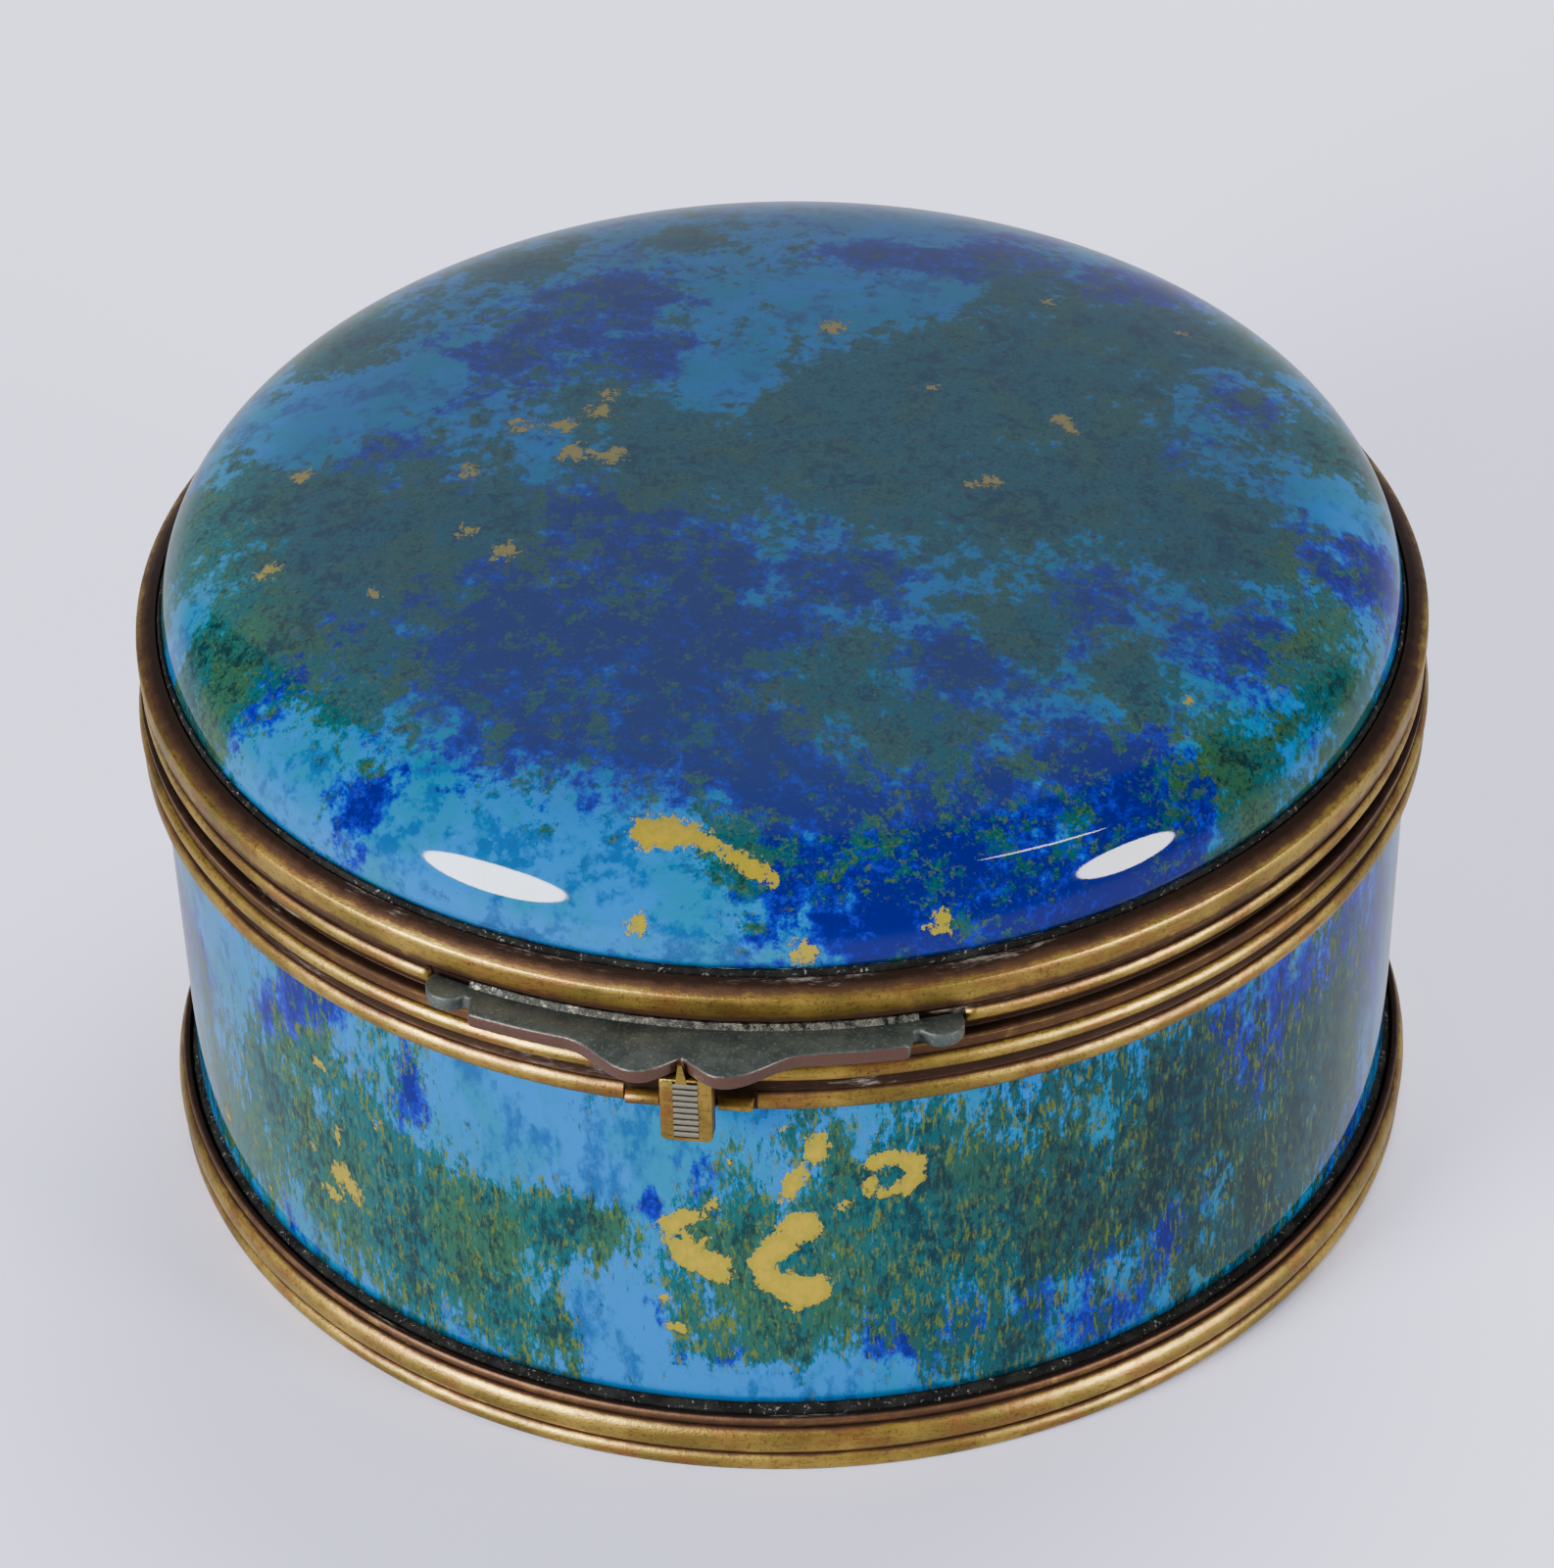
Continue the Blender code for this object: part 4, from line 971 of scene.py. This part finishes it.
def half_plate():
    points = [ahead(PLATE_ANGLE * k / 44, plate_edge(PLATE_ANGLE * k / 44)) for k in range(44)]
    points += [ahead(PLATE_ANGLE - 0.1, PLATE_RADIUS - 0.05), ahead(PLATE_ANGLE, PLATE_RADIUS - 0.35)]
    points += [ahead(PLATE_ANGLE + 0.25, PLATE_RADIUS - 1.2), ahead(PLATE_ANGLE + 0.55, PLATE_RADIUS - 2.0)]
    centre_x, centre_y = ahead(TAB_ANGLE, TAB_DISTANCE)
    for k in range(21):
        angle = math.radians(-135 + 145 * k / 20)
        points.append((centre_x + TAB_RADIUS * math.cos(angle), centre_y + TAB_RADIUS * math.sin(angle)))
    return points


right_half = half_plate()
end_azimuth = math.degrees(math.atan2(right_half[-1][0], -right_half[-1][1]))
left_half = [(-x, y) for x, y in reversed(right_half[1:])]
plate_outline = right_half + arc(end_azimuth, PLATE_INNER, 40) + left_half


# %% Make the plate


def plate_from(name, outline, thickness, plane, start, bevel=0.25, segments=3):
    """Fills an outline, extrudes it along its third axis and rounds its edges."""
    axis = ("side", "front", "plan").index(plane)
    points = [(*spot[:axis], start, *spot[axis:]) for spot in outline]
    along = [0, 0, 0]
    along[axis] = thickness * MM
    piece = draw_line(name, points + [points[0]])
    bpy.ops.mesh.select_all(action="SELECT")
    bpy.ops.mesh.remove_doubles(threshold=SAME_PLACE)
    bpy.ops.mesh.select_all(action="SELECT")
    bpy.ops.mesh.edge_face_add()
    bpy.ops.mesh.extrude_region_move(TRANSFORM_OT_translate={"value": along})
    bpy.ops.mesh.select_all(action="SELECT")
    bpy.ops.mesh.normals_make_consistent(inside=False)
    bpy.ops.object.mode_set(mode="OBJECT")
    if bevel:
        round_edges(piece, bevel, segments, 40)
    pick(piece)
    bpy.ops.object.shade_smooth_by_angle(angle=math.radians(40))
    return piece


thumb_plate = plate_from("thumb_plate", plate_outline, plate_top - plate_bottom, "plan", plate_bottom)
places = corners(thumb_plate)
radius = np.hypot(places[:, 0], places[:, 1])
azimuth = np.degrees(np.arctan2(places[:, 0], -places[:, 1]))
reach = np.array([plate_edge(a) for a in azimuth])
front = np.clip(1 - (reach - radius) / 0.6, 0, 1) * (places[:, 2] < plate_top - 0.1)
store(thumb_plate, "grime", front)
store(thumb_plate, "chalk", 0.6 * np.clip(1 - (radius - PLATE_INNER) / 0.5, 0, 1))
dress(thumb_plate, patina, "lid", "dark patina", "thumb_piece")

# %% [markdown]
# A thin cove of grey solder runs along the plate's back edge, where it meets the lid's mount.

# %% Solder along the plate's back edge
SOLDER_ANGLE = 19
SOLDER_REACH = 0.5
SOLDER_CREST = 0.1


def pale_solder():
    material, shader = surface("pale solder", roughness=0.42, metallic=0.7)
    where = object_space(material)
    grey = soft_step(cloud(where, 0.9, 5, 0.75), 0.40, 0.62)
    colour = blend(grey, (0.006, 0.007, 0.006), (0.080, 0.076, 0.060))
    join_up(colour, shader.inputs["Base Color"])
    relief(shader, grey, 0.08, 0.7)
    return material


solder_outline = arc(SOLDER_ANGLE, PLATE_INNER - 0.1, 60)
solder_outline += arc(-SOLDER_ANGLE, PLATE_INNER + SOLDER_REACH, 60)
solder = plate_from("solder_fillet", solder_outline, 0.62, "plan", plate_top - 0.1, bevel=0)
for vertex in solder.data.vertices:
    if vertex.co.z > plate_top * MM and math.hypot(vertex.co.x, vertex.co.y) > (PLATE_INNER + 0.3) * MM:
        vertex.co.xy *= (PLATE_INNER + SOLDER_CREST) / (PLATE_INNER + SOLDER_REACH)
dress(solder, pale_solder(), "lid", "aged brass")

# %% Cut the lid rim back behind the plate
seat_end = end_azimuth + 0.4
seat_outline = arc(seat_end, LID_FACE - 0.1, 40) + arc(-seat_end, 75, 40)
seat = plate_from("seat", seat_outline, plate_top - plate_bottom + 1.2, "plan", plate_bottom - 1, bevel=0)
cut_away(lid_mount, seat)
rim_ledges = ((lid_top + 0.3, 0.55, 0.85), (BAND_FOOT + 0.3, 0.3, 0.7))
grime_by_depth(lid_mount, 60.0, 59.3, chalk_near=(-30, -12, 8, 26), ledges=rim_ledges)
dress(lid_mount, brass, "lid", "aged brass", "lid_rim")
print(f"thumb piece {2 * end_azimuth:.0f} degrees wide")

# %% [markdown]
# Black bedding fills the seam between porcelain and brass, on the lid and at the foot. It was
# pressed in by hand, so its surface is lumpy: a fine cloud texture pushes the turned ring about.
# On the lid it rises over the glaze's lower edge and hides it.

# %% Bedding
LUMP_SIZE = 1.1
LUMP_DEPTH = 0.12


def lumpy(piece, size, depth):
    texture = bpy.data.textures.new(piece.name, "CLOUDS")
    texture.noise_scale = size * MM
    push = piece.modifiers.new("Lumps", "DISPLACE")
    push.texture = texture
    push.texture_coords = "LOCAL"
    push.strength = depth * MM
    push.mid_level = 0.5
    apply_modifiers(piece)


bedding_low = levels("lid_bedding")[0]
bedding_outer = LID_CHANNEL - 0.1
bedding_inner = dome_radius - EDGE_STEP + 0.1
print(f"lid seam from {bedding_inner:.2f} to {bedding_outer:.2f} mm")
seam_profile = [
    (bedding_inner, glaze_edge - 0.34), (dome_radius - 0.12, glaze_edge - 0.30),
    (dome_radius + 0.05, glaze_edge + 0.06), (dome_radius + 0.20, glaze_edge + 0.02),
    (bedding_outer, lip_top - 0.08), (bedding_outer, bedding_low), (bedding_inner, bedding_low),
]
lid_seam = turn("lid_seam", seam_profile, GLAZE_SPIN_STEPS)
lumpy(lid_seam, LUMP_SIZE, LUMP_DEPTH)
dress(lid_seam, bedding, "lid", "black bedding", "lid_bedding")

foot_low, foot_high, _ = levels("base_bedding")
foot_inner = foot_radius + 0.1
foot_outer = BASE_CHANNEL - 0.1
foot_profile = [
    (foot_inner, foot_high - 0.1), (foot_inner + 0.6, foot_high), (foot_inner + 1.0, foot_high - 0.2),
    (foot_outer, base_top - 0.25), (foot_outer, foot_low), (foot_inner, foot_low),
]
foot_seam = turn("foot_seam", foot_profile, GLAZE_SPIN_STEPS)
lumpy(foot_seam, LUMP_SIZE, LUMP_DEPTH)
dress(foot_seam, bedding, "box", "black bedding", "base_bedding")

# %% [markdown]
# The latch is a small sprung lever. A finger pulls its ribbed front, it turns on a pin between two
# short barrels, and its tip clears the cusp of the thumb piece. The body is a front outline given
# its depth, with a panel cut into it. The ribs, one side outline extruded across, fill the panel
# and stay a piece of their own, because their gilding is gone. The tip is a small tapered prism.

# %% Latch lever
lever_low, lever_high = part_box("latch_lever")
pin_low, pin_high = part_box("latch_pin")
pivot_y = (pin_low.y + pin_high.y) / 2 / MM
pivot_z = (pin_low.z + pin_high.z) / 2 / MM
LEVER_FRONT = pivot_y - 4.5
LEVER_BACK = LEVER_FRONT + 1.8
LEVER_HALF = lever_high.x / MM
LEVER_BOTTOM = lever_low.z / MM
LEVER_TOP = lid_low - 0.3
TIP_TOP = lever_high.z / MM
PANEL_HALF = 1.10
LEVER_SHIFT = 0.42
RIB_PITCH = 0.67
RIB_RISE = 0.26
RIB_VALLEY = LEVER_FRONT + 0.14
KNUCKLE_RADIUS = 0.65
TIP_TAPER = 0.32

lever_outline = [
    (-LEVER_HALF, LEVER_BOTTOM + 0.7), (-LEVER_HALF + 0.15, LEVER_BOTTOM + 0.35),
    (-LEVER_HALF + 0.5, LEVER_BOTTOM + 0.2), (LEVER_HALF - 0.5, LEVER_BOTTOM + 0.2),
    (LEVER_HALF - 0.15, LEVER_BOTTOM + 0.35), (LEVER_HALF, LEVER_BOTTOM + 0.7),
    (LEVER_HALF, LEVER_TOP - 0.55), (LEVER_HALF - 0.5, LEVER_TOP), (-LEVER_HALF + 0.2, LEVER_TOP),
    (-LEVER_HALF, LEVER_TOP - 0.25),
]
front_outline = [(across + LEVER_SHIFT, up) for across, up in lever_outline]
lever = plate_from("latch_lever_worn", front_outline, LEVER_BACK - LEVER_FRONT, "front", LEVER_FRONT, 0.15, 2)
panel_hole = block(
    "panel hole",
    (LEVER_SHIFT - PANEL_HALF, LEVER_FRONT - 1, LEVER_BOTTOM + 0.6),
    (LEVER_SHIFT + PANEL_HALF, LEVER_FRONT + 0.16, LEVER_TOP - 0.15),
)
cut_away(lever, panel_hole)


def rod(name, radius, low, high, y, z, sides=40, bevel=0.08):
    """A round bar along X, between two places in millimetres, with slightly rounded ends."""
    bpy.ops.object.select_all(action="DESELECT")
    bpy.ops.mesh.primitive_cylinder_add(
        vertices=sides,
        radius=radius * MM,
        depth=(high - low) * MM,
        location=((low + high) / 2 * MM, y * MM, z * MM),
        rotation=(0, math.pi / 2, 0),
    )
    piece = new_piece(name)
    bpy.ops.object.transform_apply(location=True, rotation=True, scale=True)
    round_edges(piece, bevel, 2, 50)
    bpy.ops.object.shade_smooth_by_angle(angle=math.radians(40))
    return piece


def join(main, *others):
    """Makes one piece of several that are soldered or cast together."""
    pick(main, *others)
    bpy.ops.object.join()
    return main


def rib_outline():
    """Side view of the ribs: rounded crests with sharp valleys."""
    bottom = LEVER_BOTTOM + 0.65
    count = int((LEVER_TOP - 0.2 - bottom) / RIB_PITCH)
    points = [(LEVER_FRONT + 0.5, bottom)]
    for k in range(count):
        for step in range(5):
            rise = math.sin(math.pi * step / 5) ** 0.7
            points.append((RIB_VALLEY - RIB_RISE * rise, bottom + (k + step / 5) * RIB_PITCH))
    points.append((RIB_VALLEY, bottom + count * RIB_PITCH))
    points.append((LEVER_FRONT + 0.5, bottom + count * RIB_PITCH))
    return points


rib_start = LEVER_SHIFT - PANEL_HALF + 0.02
ribs = plate_from("latch_ribs", rib_outline(), 2 * PANEL_HALF - 0.04, "side", rib_start, bevel=0)
arm = block("arm", (-1.7, LEVER_BACK - 0.5, pivot_z - 0.375), (1.7, pivot_y, pivot_z + 0.6))
lever_knuckle = rod("lever knuckle", KNUCKLE_RADIUS, -LEVER_HALF, LEVER_HALF, pivot_y, pivot_z)
tip_back = -(plate_edge(0) + 0.4)
tip_outline = [(-0.45, LEVER_FRONT + 0.3), (-0.45, LEVER_FRONT), (0.6, LEVER_FRONT)]
tip_outline += [(0.6, LEVER_FRONT + 0.3), (0.08, tip_back)]
tip = plate_from("tip", tip_outline, TIP_TOP - LEVER_TOP + 0.5, "plan", LEVER_TOP - 0.5, bevel=0)
for vertex in tip.data.vertices:
    if vertex.co.z > (TIP_TOP - 0.1) * MM:
        vertex.co.x *= TIP_TAPER
join(lever, arm, lever_knuckle, tip)


def below_crest(piece):
    """How far each vertex lies back from the ribs' crests, from 0 to 1, and its y."""
    depth = corners(piece)[:, 1]
    return 1 - np.clip((RIB_VALLEY - depth) / RIB_RISE, 0, 1), depth


hollow, depth = below_crest(lever)
weathered(lever, np.where(depth > LEVER_FRONT + 0.2, 0.6, 0.45 * hollow))
dress(lever, latch_brass, "latch", "worn latch brass", "latch_lever")


def worn_silver():
    """The ribs have lost their gilding to the fingers, and grime is left between them."""
    material, shader = surface("worn silvery ribs", roughness=0.3, metallic=1.0)
    where = object_space(material)
    worn = sum_up((painted(material, "grime"), 1.0), (cloud(where, 1.3, 4, 0.7), 0.5))
    brown = soft_step(worn, 0.45, 0.95)
    colour = blend(brown, (0.420, 0.390, 0.310), (0.050, 0.036, 0.022))
    join_up(colour, shader.inputs["Base Color"])
    return material


store(ribs, "grime", 0.8 * below_crest(ribs)[0])
dress(ribs, worn_silver(), "latch", "worn latch brass")

# %% Barrels and pin of the latch
for node in ("latch_knuckle_right", "latch_knuckle_left"):
    low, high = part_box(node)
    name = node.replace("knuckle", "barrel")
    barrel = rod(name, KNUCKLE_RADIUS, low.x / MM, high.x / MM, pivot_y, pivot_z)
    weathered(barrel, 0.35)
    dress(barrel, brass, "box", "worn latch brass", node)
pin_radius = (pin_high.z - pin_low.z) / 2 / MM
latch_rod = rod("latch_rod", pin_radius, pin_low.x / MM, pin_high.x / MM, pivot_y, pivot_z)
weathered(latch_rod, 0.5)
dress(latch_rod, pin_brass, "box", "pin brass", "latch_pin")

# %% [markdown]
# The hinge isn't seen in the photograph. It is made as such boxes have it: a leaf on each rim that
# follows the curve, three knuckles in line, and a pin with small round heads.

# %% Hinge
leaf_low, leaf_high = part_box("hinge_leaf_body")
lid_leaf_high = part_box("hinge_leaf_lid")[1]
hinge_low, hinge_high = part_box("hinge_pin")
hinge_y = (hinge_low.y + hinge_high.y) / 2 / MM
hinge_z = (hinge_low.z + hinge_high.z) / 2 / MM
BARREL = 2.0
MIDDLE_HALF = 4.2
OUTER_START = MIDDLE_HALF + 0.3
OUTER_END = OUTER_START + 8.5
LEAF = 1.2
LEAF_GAP = 0.3
PIN_RADIUS = 0.75
HEAD_RADIUS = 1.2
HEAD = 0.8


def curved_leaf(name, half_width, radius, low, high):
    half = math.degrees(math.asin(half_width / (radius + LEAF)))
    outline = arc(-half, radius + LEAF, 24, middle=180) + arc(half, radius, 24, middle=180)
    return plate_from(name, outline, high - low, "plan", low, 0.2, 2)


def knuckle(name, low, high, leaf_radius, way):
    """A barrel with the strap that ties it to its leaf. way is -1 for the lower leaf, 1 for the lid's."""
    reach = way * 2.6
    back = leaf_radius + LEAF - 0.15
    outline = [(back - 0.5, hinge_z + reach), (back, hinge_z + reach)]
    for k in range(25):
        angle = math.radians(way * (50 - 230 * k / 24))
        outline.append((hinge_y + BARREL * math.cos(angle), hinge_z + BARREL * math.sin(angle)))
    outline.append((back - 0.5, hinge_z + way * 1.2))
    return plate_from(name, outline, high - low, "side", low, 0.15, 2)


leaf_half = leaf_high.x / MM
lower_radius, lower_foot = rim_radius + LEAF_GAP, leaf_low.z / MM
lower_leaf = curved_leaf("hinge_lower", leaf_half, lower_radius, lower_foot, lower_foot + 4.8)
lower_left = knuckle("lower left", -OUTER_END, -OUTER_START, lower_radius, -1)
lower_right = knuckle("lower right", OUTER_START, OUTER_END, lower_radius, -1)
join(lower_leaf, lower_left, lower_right)
weathered(lower_leaf, 0.35)
dress(lower_leaf, brass, "box", "aged brass", "hinge_leaf_body")

upper_radius, upper_top = lid_radius + LEAF_GAP, lid_leaf_high.z / MM
upper_leaf = curved_leaf("hinge_upper", leaf_half, upper_radius, upper_top - 4.3, upper_top)
join(upper_leaf, knuckle("upper middle", -MIDDLE_HALF, MIDDLE_HALF, upper_radius, 1))
weathered(upper_leaf, 0.35)
dress(upper_leaf, brass, "lid", "aged brass", "hinge_leaf_lid")

pin_length = hinge_high.x / MM
hinge_rod = rod("hinge_rod", PIN_RADIUS, -pin_length + 0.5, pin_length - 0.5, hinge_y, hinge_z)
for start in (pin_length - HEAD, -pin_length):
    join(hinge_rod, rod("head", HEAD_RADIUS, start, start + HEAD, hinge_y, hinge_z, bevel=0.3))
weathered(hinge_rod, 0.45)
dress(hinge_rod, pin_brass, "box", "pin brass", "hinge_pin")

# %% [markdown]
# The box stands on pale paper under soft light. Two softboxes low on the left and the right make
# the small bright shapes on the lid's shoulder, and a thin tube the streak beside the right one. A
# broad panel overhead and behind lightens the crown and the paper. The studio is pale behind and
# above, which veils the crown, and dark around the camera, which keeps the shoulder's colour deep.
# The paper is kept out of reflections: a sheet this large would wash the wall's colours out.

# %% Floor
bpy.ops.object.select_all(action="DESELECT")
bpy.ops.mesh.primitive_plane_add(size=8)
floor = new_piece("floor")
pale_paper, paper_shader = surface("pale paper", roughness=0.7)
paper_shader.inputs["Base Color"].default_value = (0.74, 0.74, 0.96, 1.0)
paper_shader.inputs["Specular IOR Level"].default_value = 0.3
floor.data.materials.append(pale_paper)
floor.visible_glossy = False

# %% Light


def softbox(name, azimuth, elevation, distance, width, height, power):
    """A round or oval lamp, seen from the box at that azimuth from the latch, and elevation."""
    lamp = bpy.data.lights.new(name, "AREA")
    lamp.shape = "ELLIPSE"
    lamp.size = width
    lamp.size_y = height
    lamp.energy = power
    holder = bpy.data.objects.new(name, lamp)
    bpy.context.scene.collection.objects.link(holder)
    way = math.radians(azimuth)
    rise = math.radians(elevation)
    direction = Vector((math.sin(way) * math.cos(rise), -math.cos(way) * math.cos(rise), math.sin(rise)))
    holder.location = direction * distance
    holder.rotation_euler = direction.to_track_quat("Z", "Y").to_euler()
    return holder


LAMP_DISTANCE = 1.4
softbox("left softbox", -42, 20, LAMP_DISTANCE, 0.60, 0.70, 58)
softbox("right softbox", 66, 12, LAMP_DISTANCE, 0.44, 0.60, 27)
overhead = softbox("overhead panel", 165, 55, 1.1, 0.9, 0.7, 18)
overhead.visible_glossy = False

TUBE_ENDS = (Vector((0.47, -0.39, 0.79)), Vector((0.71, -0.22, 0.67)))
tube = softbox("tube", 0, 0, LAMP_DISTANCE, 0.45, 0.016, 0.75)
tube_way = (TUBE_ENDS[0] + TUBE_ENDS[1]).normalized()
across = (TUBE_ENDS[1] - TUBE_ENDS[0]).normalized()
tube.location = tube_way * LAMP_DISTANCE
upward = tube_way.cross(across).normalized()
tube.rotation_euler = Matrix((across, upward, across.cross(upward))).transposed().to_euler()

# %% Studio walls
ROOM_CURVE = 0.93
PALE_EDGE = (-0.13, -0.01)
GLOW_EDGE = (-0.30, 0.10)


def studio(bright, dim, low_glow):
    """A pale room behind the box and overhead, a dark one behind the camera, and a glow below."""
    world = bpy.data.worlds.new("Studio")
    bpy.context.scene.world = world
    world.use_nodes = True
    nodes = world.node_tree.nodes
    x, y, z = split_up(nodes.new("ShaderNodeTexCoord").outputs["Generated"])
    pale = soft_step(sum_up((times(x, x), -ROOM_CURVE), (y, 1.0)), *PALE_EDGE)
    room = blend(soft_step(z, *GLOW_EDGE), low_glow, blend(pale, dim, bright))
    join_up(room, nodes["Background"].inputs["Color"])


studio(bright=(0.42, 0.43, 0.52), dim=(0.05, 0.05, 0.06), low_glow=(0.60, 0.61, 0.68))
